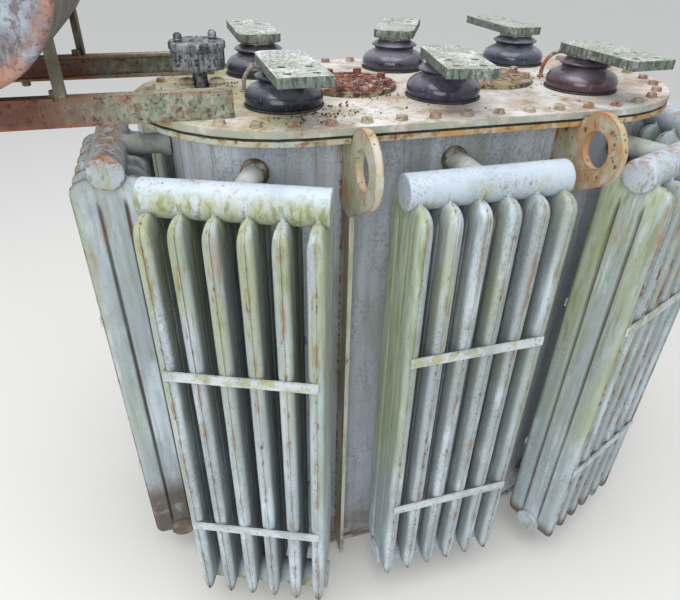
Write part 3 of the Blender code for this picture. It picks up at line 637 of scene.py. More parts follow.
# %% Finishes of the tank
TANK_PAINT = finish("grey_blue_tank_paint", "#B2BAC3", 0.58, [
    ("#A1AAB3", 0.62, 0, lambda t: patches(t, 170, 0.45, 0.12, 2)),
    ("#C2CAD3", 0.55, 0, lambda t: patches(t, 80, 0.3, 0.10, 3, 2)),
    ("#8F989E", 0.66, 0, lambda t: both(t, patches(t, 10, 0.3, 0.08, 14, 3), 0.5)),
    ("#6C7472", 0.78, 0.04, lambda t: both(
        t, patches(t, 2.8, 0.3, 0.07, 1.4, 4), patches(t, 90, 0.5, 0.10, 1, 5), 0.5)),
    ("#84886A", 0.8, 0.04, lambda t: both(
        t, patches(t, 40, 0.22, 0.10, 5, 6), 0.5)),
    ("#86705A", 0.82, 0.04, lambda t: both(
        t, patches(t, 9, 0.14, 0.06, 18, 7), along_height(t, 0.95, 1.28), 0.6)),
    ("#8A5A40", 0.9, 0.1, lambda t: patches(t, 5, 0.006, 0.02, 2, 8)),
    ("#6E6055", 0.92, 0.15, lambda t: both(
        t, patches(t, 60, 0.6, 0.12, 1, 9), along_height(t, 0.26, 0.04), 0.8)),
    # Painted shade: a dark coat in sheltered corners of the tank wall.
    ("#3F4446", 0.9, 0, lambda t: both(t, painted_shade_in_corners(t, 60), 0.2)),
], grain_mm=3.0, grain_height_mm=0.12, edge_mm=1.5)

COVER_PAINT = finish("worn_cream_cover_paint", "#C4BEB6", 0.58, [
    ("#ABA29A", 0.66, 0, lambda t: patches(t, 110, 0.5, 0.12)),
    ("#D9D8D6", 0.48, 0, lambda t: both(t, patches(t, 60, 0.40, 0.10, 1, 2), 0.8)),
    ("#C2AC9E", 0.66, 0, lambda t: both(t, patches(t, 50, 0.3, 0.10, 1, 3), 0.6)),
    ("#9A9767", 0.82, 0.08, lambda t: both(
        t, patches(t, 45, 0.62, 0.12, 1, 4), along_length(t, -0.02, -0.30), 0.85)),
    ("#88855A", 0.82, 0.08, lambda t: both(t, patches(t, 26, 0.14, 0.07, 1, 5), 0.7)),
    ("#8B6F58", 0.82, 0.05, lambda t: both(
        t, patches(t, 34, 0.20, 0.08, 1, 6), 0.65)),
    ("#8C7B60", 0.82, 0.05, lambda t: both(
        t, patches(t, 50, 0.6, 0.10, 1, 12), along_length(t, 0.52, 0.72), 0.8)),
    ("#5B4A3C", 0.88, 0.1, lambda t: both(
        t, patches(t, 5, 0.16, 0.06, 1, 7), patches(t, 90, 0.5, 0.12, 1, 13), 0.85)),
    ("#9F7150", 0.88, 0.08, lambda t: both(
        t, patches(t, 12, 0.10, 0.05, 1, 8), patches(t, 120, 0.4, 0.10, 1, 9), 0.85)),
    ("#949A8B", 0.72, 0.05, lambda t: both(
        t, looking(t, (0, 0, 1), 0.5, 0.1), patches(t, 30, 0.75, 0.10, 1, 10), 0.9)),
    # Painted shade: a dark brown coat round the fittings and in other sheltered corners of the
    # cover.
    ("#5A4B3D", 0.9, 0, lambda t: both(t, painted_shade_in_corners(t, 16), 0.65)),
], grain_mm=2.5, grain_height_mm=0.14, edge_mm=1.5)

EDGE_RUST = finish("rusting_cream_flange", "#A99F83", 0.78, [
    ("#B9B49A", 0.7, 0, lambda t: patches(t, 40, 0.4, 0.10, 1, 1)),
    ("#A3AFA6", 0.65, 0.1, lambda t: both(
        t, patches(t, 26, 0.5, 0.06, 1, 2), along_length(t, 0.10, -0.15))),
    ("#B08148", 0.88, 0.08, lambda t: both(
        t, patches(t, 26, 0.55, 0.08, 1, 3), along_length(t, -0.12, 0.10), 0.85)),
    ("#8A6040", 0.9, 0.15, lambda t: patches(t, 12, 0.20, 0.06, 1, 4)),
    ("#5A3F2C", 0.92, 0.2, lambda t: patches(t, 6, 0.10, 0.04, 1, 6)),
    ("#85845A", 0.82, 0.05, lambda t: both(t, patches(t, 18, 0.25, 0.06, 1, 5), 0.7)),
    # Painted shade: a dark coat in sheltered corners of the flange.
    ("#463626", 0.9, 0, lambda t: both(t, painted_shade_in_corners(t, 12), 0.5)),
], grain_mm=1.6, grain_height_mm=0.2, edge_mm=1.5)


def eye_paint(name, rust, seed):
    return finish(name, "#B0B1A5", 0.7, [
        ("#9C9A70", 0.78, 0.05, lambda t: both(t, patches(t, 24, 0.45, 0.09, 1.5, seed), 0.75)),
        ("#A5825C", 0.86, 0.06, lambda t: both(
            t, patches(t, 26, rust * 0.6, 0.09, 1.5, seed + 1), 0.9)),
        ("#B2673A", 0.88, 0.12, lambda t: both(
            t, worn_edges(t, 8), patches(t, 24, 0.25 + rust * 0.6, 0.08, 1, seed + 2), 0.95)),
        ("#6F452E", 0.92, 0.2, lambda t: patches(t, 7, 0.04 + rust * 0.12, 0.05, 1, seed + 3)),
        # Painted shade: a dark coat in sheltered corners round the eye.
        ("#54523E", 0.9, 0, lambda t: both(t, painted_shade_in_corners(t, 18), 0.35)),
    ], grain_mm=1.6, grain_height_mm=0.18, edge_mm=2)


EYE_WEATHER = {"front_left": 0.45, "front_right": 0.9, "back_left": 0.4, "back_right": 0.5}

STIFFENER_PAINT = finish("cream_edged_stiffener", "#B5B5AC", 0.65, [
    ("#7E6450", 0.86, 0.08, lambda t: both(
        t, patches(t, 22, 0.65, 0.10, 6, 1), looking(t, (0, -1, 0), 0.8, 0.3), 0.85)),
    ("#D0D0C2", 0.58, 0, lambda t: both(t, looking(t, (0, -1, 0), 0.5, 0.9), 0.7)),
    ("#9A9B70", 0.8, 0.05, lambda t: both(t, patches(t, 16, 0.3, 0.07, 6, 2), 0.6)),
    ("#84573C", 0.9, 0.12, lambda t: patches(t, 8, 0.08, 0.03, 4, 3)),
    ("#6E6055", 0.92, 0.15, lambda t: both(
        t, patches(t, 40, 0.6, 0.10, 1, 4), along_height(t, 0.22, 0.05))),
], grain_mm=2, grain_height_mm=0.12, edge_mm=1)

GASKET = finish("aged_nitrile_rubber", "#2A2A28", 0.85, [
    ("#4A4138", 0.9, 0.1, lambda t: patches(t, 14, 0.4, 0.06)),
], grain_mm=1.5, grain_height_mm=0.1)

# %% Dress the CAD nodes that keep their mesh
def dress(material, *names):
    for name in names:
        node = NODES[name]
        node.data.materials.clear()
        node.data.materials.append(material)


CORNERS = ("front_left", "front_right", "back_left", "back_right")
dress(TANK_PAINT, "tank_shell", "tank_bottom_plate")
dress(COVER_PAINT, "cover_plate")
dress(EDGE_RUST, "tank_flange")
dress(GASKET, "cover_gasket")
for number, (corner, rust) in enumerate(EYE_WEATHER.items()):
    dress(eye_paint(f"rusting_eye_paint_{corner}", rust, number * 2.7), f"lifting_eye_{corner}")
dress(STIFFENER_PAINT, *(f"wall_stiffener_{corner}" for corner in CORNERS))
print("dressed the tank")

# %% [markdown]
# ## Weld beads
#
# The plates of the tank are joined with hand-laid welds: a low, slightly rippled bead along
# each joint. A bead is a thin swept tube whose radius wavers every few millimetres.

# %% Sweep a bead along a path
def add_bead(work, points, radius, seed, ripple=0.18, material=0, closed=False):
    """A tube of six sides along points, with a wavering radius."""
    rings = []
    count = len(points)
    for index, point in enumerate(points):
        before = points[index - 1] if index or closed else point
        after = points[(index + 1) % count] if index < count - 1 or closed else point
        along = (after - before).normalized()
        sideways = along.cross(Vector((0.31, 0.42, 0.85))).normalized()
        upward = along.cross(sideways)
        swell = radius * (1 + ripple * noise.noise(point * 260 + Vector((seed, 0, 0))))
        rings.append([work.verts.new(point + swell * (
            sideways * math.cos(turn * math.pi / 3) + upward * math.sin(turn * math.pi / 3)))
            for turn in range(6)])
    pairs = list(zip(rings, rings[1:])) + ([(rings[-1], rings[0])] if closed else [])
    for first, second in pairs:
        for turn in range(6):
            after = (turn + 1) % 6
            work.faces.new((first[turn], first[after], second[after], second[turn]))\
                .material_index = material
    if not closed:
        work.faces.new(reversed(rings[0])).material_index = material
        work.faces.new(rings[-1]).material_index = material


def straight_points(start, end, step):
    start, end = Vector(start), Vector(end)
    count = max(2, round((end - start).length / step))
    return [start.lerp(end, index / count) for index in range(count + 1)]


def obround_points(radius, z, step):
    """Points round the tank's outline at a distance from its end centres."""
    points = []
    quarter = math.pi / 2
    for end, start in ((1, -quarter), (-1, quarter)):
        count = round(math.pi * radius / step)
        for index in range(count + 1):
            turn = start + math.pi * index / count
            points.append(Vector((TANK_X + end * STRAIGHT_HALF + radius * math.cos(turn),
                                  radius * math.sin(turn), z)))
        count = round(2 * STRAIGHT_HALF / step)
        for index in range(1, count):
            x = end * (STRAIGHT_HALF - 2 * STRAIGHT_HALF * index / count)
            points.append(Vector((TANK_X + x, end * radius, z)))
    return points


# %% Lay the welds of the tank
WELD_PAINT = finish("painted_weld_bead", "#8F9896", 0.7, [
    ("#8A5836", 0.9, 0.1, lambda t: patches(t, 18, 0.4, 0.07, 1, 1)),
    ("#55402F", 0.9, 0.1, lambda t: patches(t, 8, 0.25, 0.05, 1, 2)),
], grain_mm=1.5, grain_height_mm=0.15)
work = bmesh.new()
FLANGE_LOW = box_of("tank_flange")[0].z
BEAD_RADIUS = TANK_RADIUS + 0.001
add_bead(work, obround_points(BEAD_RADIUS, FLANGE_LOW - 0.001, 0.008), 0.0042, 1, closed=True)
add_bead(work, obround_points(BEAD_RADIUS, 0.0135, 0.010), 0.0045, 2, closed=True)
EYE_PLACES = [sum(corner.x for corner in box_of(f"lifting_eye_front_{hand}")) / 2
              for hand in ("left", "right")]
for side_y in (-1, 1):
    for eye_x in EYE_PLACES:
        for edge in (-1, 1):
            x = eye_x + edge * 0.0055
            add_bead(work, straight_points(
                (x, side_y * BEAD_RADIUS, 0.02), (x, side_y * BEAD_RADIUS, 1.15), 0.010),
                0.0033, 3 + edge)
            x = eye_x + edge * 0.0082
            add_bead(work, straight_points(
                (x, side_y * BEAD_RADIUS, 1.16), (x, side_y * BEAD_RADIUS, 1.30), 0.010),
                0.0036, 6 + edge)
finish_piece("tank_weld_beads", work, [WELD_PAINT])

# %% [markdown]
# ## Bolts
#
# The cover is held by M12 hexagon bolts about 68 mm apart. A head is 19 mm across its flats
# and 6 to 7.5 mm high, with its corners chamfered by a cone, over a washer. They are turned
# at random, as a fitter leaves them, and have rusted to a pinkish brown.

# %% Shape of a hexagon bolt
def add_bolt(work, place, flats=0.019, head=0.0075, washer=0.012, material=0):
    """A washer and a chamfered hexagon head along +Z of a matrix."""
    add_turned(work, ((washer, 0), (washer, 0.0016), (washer - 0.0006, 0.0022),
                      (flats * 0.45, 0.0022)), 20, place, material)
    corner = flats / math.sqrt(3)
    rings = []
    for radius, height in ((corner, 0.0018), (corner, 0.0022 + head * 0.72),
                           (corner * 0.95, 0.0022 + head * 0.92), (corner * 0.82, 0.0022 + head)):
        rings.append([work.verts.new(place @ Vector((
            radius * math.cos(turn * math.pi / 3), radius * math.sin(turn * math.pi / 3),
            height))) for turn in range(6)])
    for lower, upper in zip(rings, rings[1:]):
        for turn in range(6):
            after = (turn + 1) % 6
            work.faces.new((lower[turn], lower[after], upper[after], upper[turn]))\
                .material_index = material
    work.faces.new(rings[-1]).material_index = material
    work.faces.new(reversed(rings[0])).material_index = material


M10_HEAD = {"flats": 0.017, "head": 0.009, "washer": 0.0105}
BOLT_STEEL = finish("rusted_bolt_steel", "#93867A", 0.72, [
    ("#ACA297", 0.62, 0, lambda t: patches(t, 14, 0.40, 0.08, 1, 1)),
    ("#8A6650", 0.86, 0.1, lambda t: patches(t, 16, 0.35, 0.08, 1, 2)),
    ("#5C4336", 0.9, 0.15, lambda t: patches(t, 5, 0.15, 0.05, 1, 3)),
    ("#8A8452", 0.85, 0.05, lambda t: both(t, patches(t, 30, 0.22, 0.05, 1, 4), 0.7)),
], grain_mm=1.2, grain_height_mm=0.18)


# %% Bolt the cover down
def spaced_round(radius, count):
    """count even places round the tank's outline, starting at the front's middle."""
    quarter_run = STRAIGHT_HALF
    arc_run = math.pi * radius
    total = 4 * STRAIGHT_HALF + 2 * arc_run
    places = []
    for index in range(count):
        run = total * index / count
        if run <= quarter_run:
            places.append((run, -radius))
        elif run <= quarter_run + arc_run:
            turn = (run - quarter_run) / radius - math.pi / 2
            places.append((STRAIGHT_HALF + radius * math.cos(turn), radius * math.sin(turn)))
        elif run <= 3 * quarter_run + arc_run:
            places.append((STRAIGHT_HALF - (run - quarter_run - arc_run), radius))
        elif run <= 3 * quarter_run + 2 * arc_run:
            turn = (run - 3 * quarter_run - arc_run) / radius + math.pi / 2
            places.append((-STRAIGHT_HALF + radius * math.cos(turn), radius * math.sin(turn)))
        else:
            places.append((run - total, -radius))
    return places


BEAMS = [box_of(f"conservator_beam_{row}") for row in ("front", "back")]


def under_beam(x, y, margin=0.013):
    return any(low.x - margin < x < high.x + margin and low.y - margin < y < high.y + margin
               for low, high in BEAMS)


dice = random.Random(12)
work = bmesh.new()
for x, y in spaced_round(0.280, 44):
    spin = Matrix.Rotation(dice.uniform(0, math.pi), 4, "Z")
    if not under_beam(TANK_X + x, y):
        add_bolt(work, Matrix.Translation((TANK_X + x, y, SEAT)) @ spin,
                 head=0.0058 + dice.uniform(-0.0004, 0.0006))
finish_piece("cover_bolt_heads", work, [BOLT_STEEL], angle=30)

# %% [markdown]
# ## Porcelain bushings
#
# A bushing is wet-process porcelain, fired with a brown to blue-black glaze. The body has a
# round swollen bell, a tight waist and one thin shed. A glaze is a glass skin, so it has
# IOR 1.5 and low roughness, under a film of dust that is thickest where it looks up. The
# photographed ones differ in colour, so each gets its own glaze.

# %% Glaze and shape of a bushing
def porcelain_glaze(name, glaze, pooled, seed):
    return finish(name, glaze, 0.16, [
        (pooled, 0.14, 0, lambda t: patches(t, 35, 0.45, 0.10, 1, seed)),
        ("#8E8C96", 0.36, 0, lambda t: both(
            t, looking(t, (0, 0, 1), 0.1, 1.0), patches(t, 30, 0.7, 0.18, 1, seed + 1), 0.5)),
        ("#8A8780", 0.6, 0.02, lambda t: both(t, patches(t, 2.5, 0.10, 0.03, 3, seed + 2), 0.35)),
        # Painted shade with some grime: a dark coat in patches in the sheltered waist and under the
        # shed.
        ("#2C2A24", 0.8, 0.04, lambda t: both(
            t, painted_shade_in_corners(t, 14), patches(t, 7, 0.6, 0.08, 1, seed + 3), 0.8)),
    ], grain_mm=30, grain_height_mm=0.12)


GLAZES = {
    "front_left": ("#23293A", "#161A26"), "front_centre": ("#403F53", "#2A293A"),
    "front_right": ("#4E3943", "#38252D"), "back_left": ("#2E2C3C", "#1D1B27"),
    "back_centre": ("#423F4D", "#2C2936"), "back_right": ("#353D4C", "#232A36")}
BUSHING_PROFILE = [
    (0, 0), (0.0700, 0), (0.0745, 0.0012), (0.0775, 0.0050), (0.0790, 0.0100),
    (0.0795, 0.0150), (0.0792, 0.0200), (0.0775, 0.0255), (0.0740, 0.0310),
    (0.0680, 0.0358), (0.0600, 0.0400), (0.0535, 0.0426), (0.0500, 0.0450),
    (0.0490, 0.0475), (0.0500, 0.0500), (0.0535, 0.0524), (0.0568, 0.0540),
    (0.0577, 0.0555), (0.0572, 0.0570), (0.0540, 0.0592), (0.0480, 0.0620),
    (0.0430, 0.0645), (0.0405, 0.0665), (0.0400, 0.0690)]
COLLAR_METAL = finish("pale_tinned_collar", "#A9AA9B", 0.45, [
    ("#7F806F", 0.7, 0.05, lambda t: patches(t, 8, 0.45, 0.06, 1, 1)),
    ("#57503F", 0.85, 0.1, lambda t: patches(t, 4, 0.2, 0.05, 1, 2)),
], grain_mm=1.2, grain_height_mm=0.08)
GASKET_RING = (
    (0.0765, 0), (0.0805, 0.0006), (0.0812, 0.0022), (0.0800, 0.0036), (0.0765, 0.0040))

for number, (name, (glaze, pooled)) in enumerate(GLAZES.items()):
    low, high = box_of(f"bushing_{name}")
    foot = Matrix.Translation(((low.x + high.x) / 2, (low.y + high.y) / 2, low.z))
    work = bmesh.new()
    add_turned(work, BUSHING_PROFILE + [(0, 0.0690)], 72, foot, 0)
    add_turned(work, ((0.030, 0.0692), (0.0425, 0.0692), (0.0432, 0.0700), (0.0432, 0.0735),
                      (0.0425, 0.0744), (0.030, 0.0744)), 40, foot, 1)
    add_turned(work, GASKET_RING, 56, foot, 2)
    finish_piece(f"porcelain_bushing_{name}", work,
                 [porcelain_glaze(f"dark_porcelain_glaze_{name}", glaze, pooled, number * 2.3),
                  COLLAR_METAL, GASKET], (f"bushing_{name}",))

# %% [markdown]
# ## Terminal palms
#
# The palms are thick cast bars, grey with green lichen and dark spots, their edges streaked
# where water runs off. They are drawn again as a flat outline with four holes, extruded and
# given a soft bevel, because the CAD solid has sharp edges and coarse holes.

# %% Finish and shape of a palm
PALM_METAL = finish("lichened_cast_palm", "#B3B5B0", 0.66, [
    ("#CFD0CF", 0.6, 0, lambda t: both(
        t, patches(t, 34, 0.45, 0.10, 1, 1), along_length(t, 0.6, 0.1))),
    ("#98A08F", 0.72, 0.04, lambda t: patches(t, 20, 0.35, 0.09, 1, 2)),
    ("#A39C85", 0.78, 0.04, lambda t: both(t, patches(t, 35, 0.22, 0.08, 1, 3), 0.6)),
    ("#6C716C", 0.78, 0.05, lambda t: both(t, patches(t, 3.2, 0.36, 0.05, 1, 4), 0.85)),
    ("#474C48", 0.85, 0.08, lambda t: patches(t, 5, 0.10, 0.03, 1, 5)),
    ("#5F6A60", 0.82, 0.05, lambda t: both(
        t, looking(t, (0, 0, 1), 0.6, 0.2), patches(t, 24, 0.85, 0.10, 1, 7), 0.9)),
    ("#39403A", 0.85, 0.06, lambda t: both(
        t, looking(t, (0, 0, 1), 0.6, 0.2), patches(t, 4, 0.40, 0.06, 3, 6), 0.8)),
    # Painted shade: a dark coat in the holes and sheltered corners of the palm.
    ("#2D302C", 0.9, 0, lambda t: both(t, painted_shade_in_corners(t, 12), 0.7)),
], grain_mm=1.8, grain_height_mm=0.22)
PALM_TURNS = {"front_left": 0, "front_centre": -11, "front_right": 2,
              "back_left": 180, "back_centre": 153, "back_right": 180}


def palm_mesh():
    """A flat bar with rounded inner corners and four holes, its stud at the origin."""
    half, tip, corner, tail = 0.050, -0.197, 0.024, 0.052
    outline = [(-half, tip), (half, tip)]
    for centre_x, start in ((half - corner, 0), (-half + corner, 90)):
        outline += [(centre_x + corner * math.cos(math.radians(start + step * 11.25)),
                     tail - corner + corner * math.sin(math.radians(start + step * 11.25)))
                    for step in range(9)]
    loops = [outline]
    for row in (0, 1):
        for hand in (-1, 1):
            centre = (hand * 0.0255, tip + 0.027 + row * 0.055)
            loops.append([(centre[0] + 0.008 * math.cos(step * math.pi / 14),
                           centre[1] + 0.008 * math.sin(step * math.pi / 14))
                          for step in range(28)])
    curve = bpy.data.curves.new("palm_outline", "CURVE")
    curve.dimensions = "2D"
    curve.fill_mode = "BOTH"
    curve.bevel_depth = 0.0012
    curve.bevel_resolution = 2
    curve.offset = -0.0012
    curve.extrude = 0.0095 - 0.0012
    for loop in loops:
        spline = curve.splines.new("POLY")
        spline.points.add(len(loop) - 1)
        for point, (x, y) in zip(spline.points, loop):
            point.co = (x, y, 0, 1)
        spline.use_cyclic_u = True
    holder = bpy.data.objects.new("palm_outline", curve)
    mesh = bpy.data.meshes.new_from_object(holder)
    bpy.data.objects.remove(holder)
    return mesh


for name, turn in PALM_TURNS.items():
    stud_low, stud_high = box_of(f"bushing_{name}")
    low, high = box_of(f"terminal_palm_{name}")
    place = Matrix.Translation(((stud_low.x + stud_high.x) / 2, (stud_low.y + stud_high.y) / 2,
                                (low.z + high.z) / 2)) @ Matrix.Rotation(math.radians(turn), 4, "Z")
    work = bmesh.new()
    work.from_mesh(palm_mesh())
    bmesh.ops.remove_doubles(work, verts=work.verts, dist=0.00001)
    work.transform(place)
    finish_piece(f"cast_palm_{name}", work, [PALM_METAL], (f"terminal_palm_{name}",),
                 angle=50)

# %% [markdown]
# ## Inspection covers
#
# Two round plates on the centre line have blistered into scale: flakes of oxide that lift
# off in plates a few millimetres thick. The disc's top is a fine grid raised by noise, with
# loose flakes lying on it. Eight bolts hold each disc. The left one is deep red-brown, and
# the right one is paler and has lost less of its paint.

# %% Scale and shape of an inspection cover
SCALE_RUST = finish("flaking_iron_scale", "#63403A", 0.9, [
    ("#8A5E52", 0.88, 0.3, lambda t: patches(t, 9, 0.35, 0.05, 1, 1)),
    ("#3A211D", 0.92, 0.4, lambda t: patches(t, 7, 0.3, 0.04, 1, 2)),
    ("#B59C92", 0.8, 0.2, lambda t: patches(t, 7, 0.18, 0.04, 1, 3)),
    ("#8E5130", 0.9, 0.2, lambda t: patches(t, 16, 0.16, 0.05, 1, 4)),
], grain_mm=1.6, grain_height_mm=0.5)
PALE_SCALE = finish("pale_worn_disc_paint", "#94857A", 0.75, [
    ("#7C6A5C", 0.8, 0.1, lambda t: patches(t, 22, 0.4, 0.08, 1, 1)),
    ("#8F5A3C", 0.9, 0.15, lambda t: patches(t, 18, 0.26, 0.07, 1, 2)),
    ("#5C3A2A", 0.92, 0.3, lambda t: patches(t, 9, 0.25, 0.05, 1, 3)),
    ("#8A8550", 0.85, 0.05, lambda t: both(t, patches(t, 26, 0.3, 0.06, 1, 4), 0.7)),
], grain_mm=1.6, grain_height_mm=0.3)
DISC_EDGE = finish("mossy_disc_edge", "#8F8A6B", 0.8, [
    ("#3B2F25", 0.92, 0.2, lambda t: patches(t, 8, 0.5, 0.05, 1, 1)),
    ("#6C6B3D", 0.9, 0.1, lambda t: patches(t, 14, 0.3, 0.06, 1, 2)),
], grain_mm=1.5, grain_height_mm=0.3)


def add_scaly_disc(work, centre, radius, thickness, rough_mm, seed):
    rings, steps = 16, 72
    top = []
    for ring in range(rings + 1):
        share = ring / rings
        row = []
        for step in range(steps if ring else 1):
            angle = 2 * math.pi * step / steps
            spot = Vector((radius * share * math.cos(angle), radius * share * math.sin(angle), 0))
            lump = noise.fractal(spot * 55 + Vector((seed, 0, 0)), 0.6, 2.2, 4)
            plate = round(noise.noise(spot * 95 + Vector((0, seed, 0))) * 3) / 3
            fall = min(1.0, (1 - share) * 8)
            raise_by = rough_mm * MM * (0.55 * lump + 0.45 * plate) * fall
            row.append(work.verts.new(centre + spot + Vector((0, 0, thickness + raise_by))))
        top.append(row)
    foot = [work.verts.new(centre + Vector((
        radius * math.cos(2 * math.pi * step / steps),
        radius * math.sin(2 * math.pi * step / steps), 0))) for step in range(steps)]
    for step in range(steps):
        after = (step + 1) % steps
        work.faces.new((top[0][0], top[1][step], top[1][after]))
        for inner, outer in zip(top[1:], top[2:]):
            work.faces.new((inner[step], outer[step], outer[after], inner[after]))
        work.faces.new((top[-1][after], top[-1][step], foot[step], foot[after]))\
            .material_index = 1
    work.faces.new(foot).material_index = 1


def add_flake(work, centre, size, thick, dice, material=0):
    """A thin loose plate of rust with an uneven outline, lying a little tilted."""
    count = dice.randint(5, 7)
    tilt = Matrix.Rotation(dice.uniform(-0.25, 0.25), 4, "X") @ Matrix.Rotation(
        dice.uniform(-0.25, 0.25), 4, "Y") @ Matrix.Rotation(dice.uniform(0, 6.28), 4, "Z")
    corners = [(size * dice.uniform(0.55, 1.0) * math.cos(2 * math.pi * index / count),
                size * dice.uniform(0.4, 0.9) * math.sin(2 * math.pi * index / count))
               for index in range(count)]
    lower = [work.verts.new(centre + tilt @ Vector((x, y, 0))) for x, y in corners]
    upper = [work.verts.new(centre + tilt @ Vector((x * 0.9, y * 0.9, thick))) for x, y in corners]
    for index in range(count):
        after = (index + 1) % count
        work.faces.new((lower[index], lower[after], upper[after], upper[index]))\
            .material_index = material
    work.faces.new(upper).material_index = material
    work.faces.new(reversed(lower)).material_index = material


for name, rough_mm, flakes, surface, seed in (
        ("left", 2.4, 190, SCALE_RUST, 4), ("right", 0.9, 36, PALE_SCALE, 9)):
    low, high = box_of(f"inspection_cover_{name}")
    centre = Vector(((low.x + high.x) / 2, (low.y + high.y) / 2, low.z))
    dice = random.Random(seed)
    work = bmesh.new()
    add_scaly_disc(work, centre, 0.107, 0.0092, rough_mm, seed)
    for index in range(flakes):
        reach, turn = 0.098 * math.sqrt(dice.random()), dice.uniform(0, 2 * math.pi)
        spot = centre + Vector((reach * math.cos(turn), reach * math.sin(turn), 0.0098))
        add_flake(work, spot, dice.uniform(0.0025, 0.0075), dice.uniform(0.0006, 0.0016), dice)
    finish_piece(f"rusted_disc_{name}", work, [surface, DISC_EDGE],
                 (f"inspection_cover_{name}",), angle=30)
    work = bmesh.new()
    for index in range(8):
        turn = 2 * math.pi * (index + 0.35) / 8
        add_bolt(work, Matrix.Translation(centre + Vector((
            0.089 * math.cos(turn), 0.089 * math.sin(turn), 0.0100)))
            @ Matrix.Rotation(dice.uniform(0, 1), 4, "Z"), **M10_HEAD)
    finish_piece(f"disc_bolts_{name}", work, [SCALE_RUST if name == "left" else BOLT_STEEL],
                 angle=30)

# %% [markdown]
# ## Lifting loops, relief device and drum
#
# The loops are bent round bar, swept here along a smooth arc. The relief device is a turned
# aluminium casting with ribs and clamp lugs round its cap, two studs with nuts on top, and
# pale rubber cups at its foot. The drum is rolled sheet with a flat end welded inside a rim.

# %% Loops of bent bar
LOOP_STEEL = finish("bare_rusted_bar", "#8C8076", 0.7, [
    ("#8E5433", 0.9, 0.15, lambda t: both(
        t, patches(t, 22, 0.7, 0.08, 1, 1), along_length(t, 0.1, 0.3))),
    ("#5B3A2B", 0.9, 0.15, lambda t: patches(t, 8, 0.3, 0.05, 1, 2)),
    ("#A9A59B", 0.6, 0, lambda t: both(t, patches(t, 14, 0.3, 0.06, 1, 3), 0.7)),
], grain_mm=1.2, grain_height_mm=0.2)
for name in ("left", "right"):
    low, high = box_of(f"cover_lifting_loop_{name}")
    middle = Vector(((low.x + high.x) / 2, (low.y + high.y) / 2, low.z))
    arch = [middle + Vector((-0.045, 0, 0))]
    arch += [middle + Vector((0.045 * math.cos(turn), 0, 0.013 + 0.0445 * math.sin(turn)))
             for turn in [math.pi * (1 - step / 20) for step in range(21)]]
    arch += [middle + Vector((0.045, 0, 0))]
    work = bmesh.new()
    add_bead(work, arch, 0.0056, 2, ripple=0.06)
    for hand in (-1, 1):
        foot = middle + Vector((hand * 0.045, 0, 0))
        ring = [foot + Vector((0.007 * math.cos(turn), 0.007 * math.sin(turn), 0.002))
                for turn in [2 * math.pi * step / 14 for step in range(14)]]
        add_bead(work, ring, 0.0024, 5, closed=True)
    loop = finish_piece(f"bent_bar_loop_{name}", work, [LOOP_STEEL],
                        (f"cover_lifting_loop_{name}",), angle=60)
    smooth = loop.modifiers.new("Round bar", "SUBSURF")
    smooth.levels = smooth.render_levels = 1

# %% The relief device
CAST_GREY = finish("weathered_cast_aluminium", "#767A80", 0.46, [
    ("#9A9EA3", 0.5, 0, lambda t: patches(t, 22, 0.4, 0.08, 1.5, 1)),
    ("#4A4F4E", 0.6, 0.05, lambda t: patches(t, 12, 0.35, 0.06, 3, 2)),
    ("#2C2F33", 0.75, 0.08, lambda t: patches(t, 5, 0.24, 0.05, 1, 3)),
    ("#6B6B55", 0.8, 0.05, lambda t: both(t, patches(t, 18, 0.2, 0.08, 1, 4), 0.5)),
    # Painted shade: a dark coat between the ribs, lugs and other sheltered corners.
    ("#2A2A27", 0.9, 0, lambda t: both(t, painted_shade_in_corners(t, 14), 0.7)),
], grain_mm=1.6, grain_height_mm=0.16, metallic=0.35)
RUBBER_CUP = finish("bleached_rubber_cup", "#B5AF9C", 0.7, [
    ("#8B8464", 0.8, 0, lambda t: patches(t, 10, 0.4, 0.08, 1, 1)),
    # Painted shade: a dark coat in the folds and sheltered corners of the cups.
    ("#4D4638", 0.9, 0, lambda t: both(t, painted_shade_in_corners(t, 10), 0.7)),
], grain_mm=1.5, grain_height_mm=0.1)
low, high = box_of("pressure_relief_device")
axis = Vector(((low.x + high.x) / 2, (low.y + high.y) / 2, low.z))
stand = Matrix.Translation(axis)
work = bmesh.new()
add_turned(work, ((0, 0), (0.033, 0), (0.034, 0.002), (0.034, 0.006), (0.031, 0.008),
                  (0.017, 0.009), (0.015, 0.012), (0.015, 0.040), (0.019, 0.0445),
                  (0.050, 0.0455), (0.0545, 0.048), (0.0555, 0.053), (0.0535, 0.056),
                  (0.0535, 0.0815), (0.0565, 0.0835), (0.0585, 0.0855), (0.059, 0.088),
                  (0.059, 0.0965), (0.057, 0.0995), (0.053, 0.1005), (0.050, 0.0995),
                  (0.030, 0.0995), (0.014, 0.1000), (0.0135, 0.1015), (0.0105, 0.1015),
                  (0.0100, 0.1000), (0, 0.1000)), 64, stand, 0)
for index in range(6):
    turn = math.radians(20 + index * 60)
    lug = stand @ Matrix.Rotation(turn, 4, "Z")
    add_box(work, (0.0525, -0.006, 0.047), (0.0585, 0.006, 0.0965), lug)
    add_box(work, (0.0525, -0.0035, 0.052), (0.0595, 0.0035, 0.092), lug)
for hand in (-1, 1):
    stud = stand @ Matrix.Translation((hand * 0.036 - 0.002, 0.012 * hand, 0.0992))
    add_turned(work, ((0.0095, 0), (0.0095, 0.002), (0.0058, 0.0022), (0.0058, 0.017),
                      (0.0050, 0.018), (0, 0.018)), 16, stud)
    add_bolt(work, stud @ Matrix.Translation((0, 0, 0.0045)), flats=0.015, head=0.009,
             washer=0.0095)
for index in range(26):
    rib = stand @ Matrix.Rotation(2 * math.pi * index / 26, 4, "Z")
    add_box(work, (0.0525, -0.0011, 0.0575), (0.0545, 0.0011, 0.0825), rib)
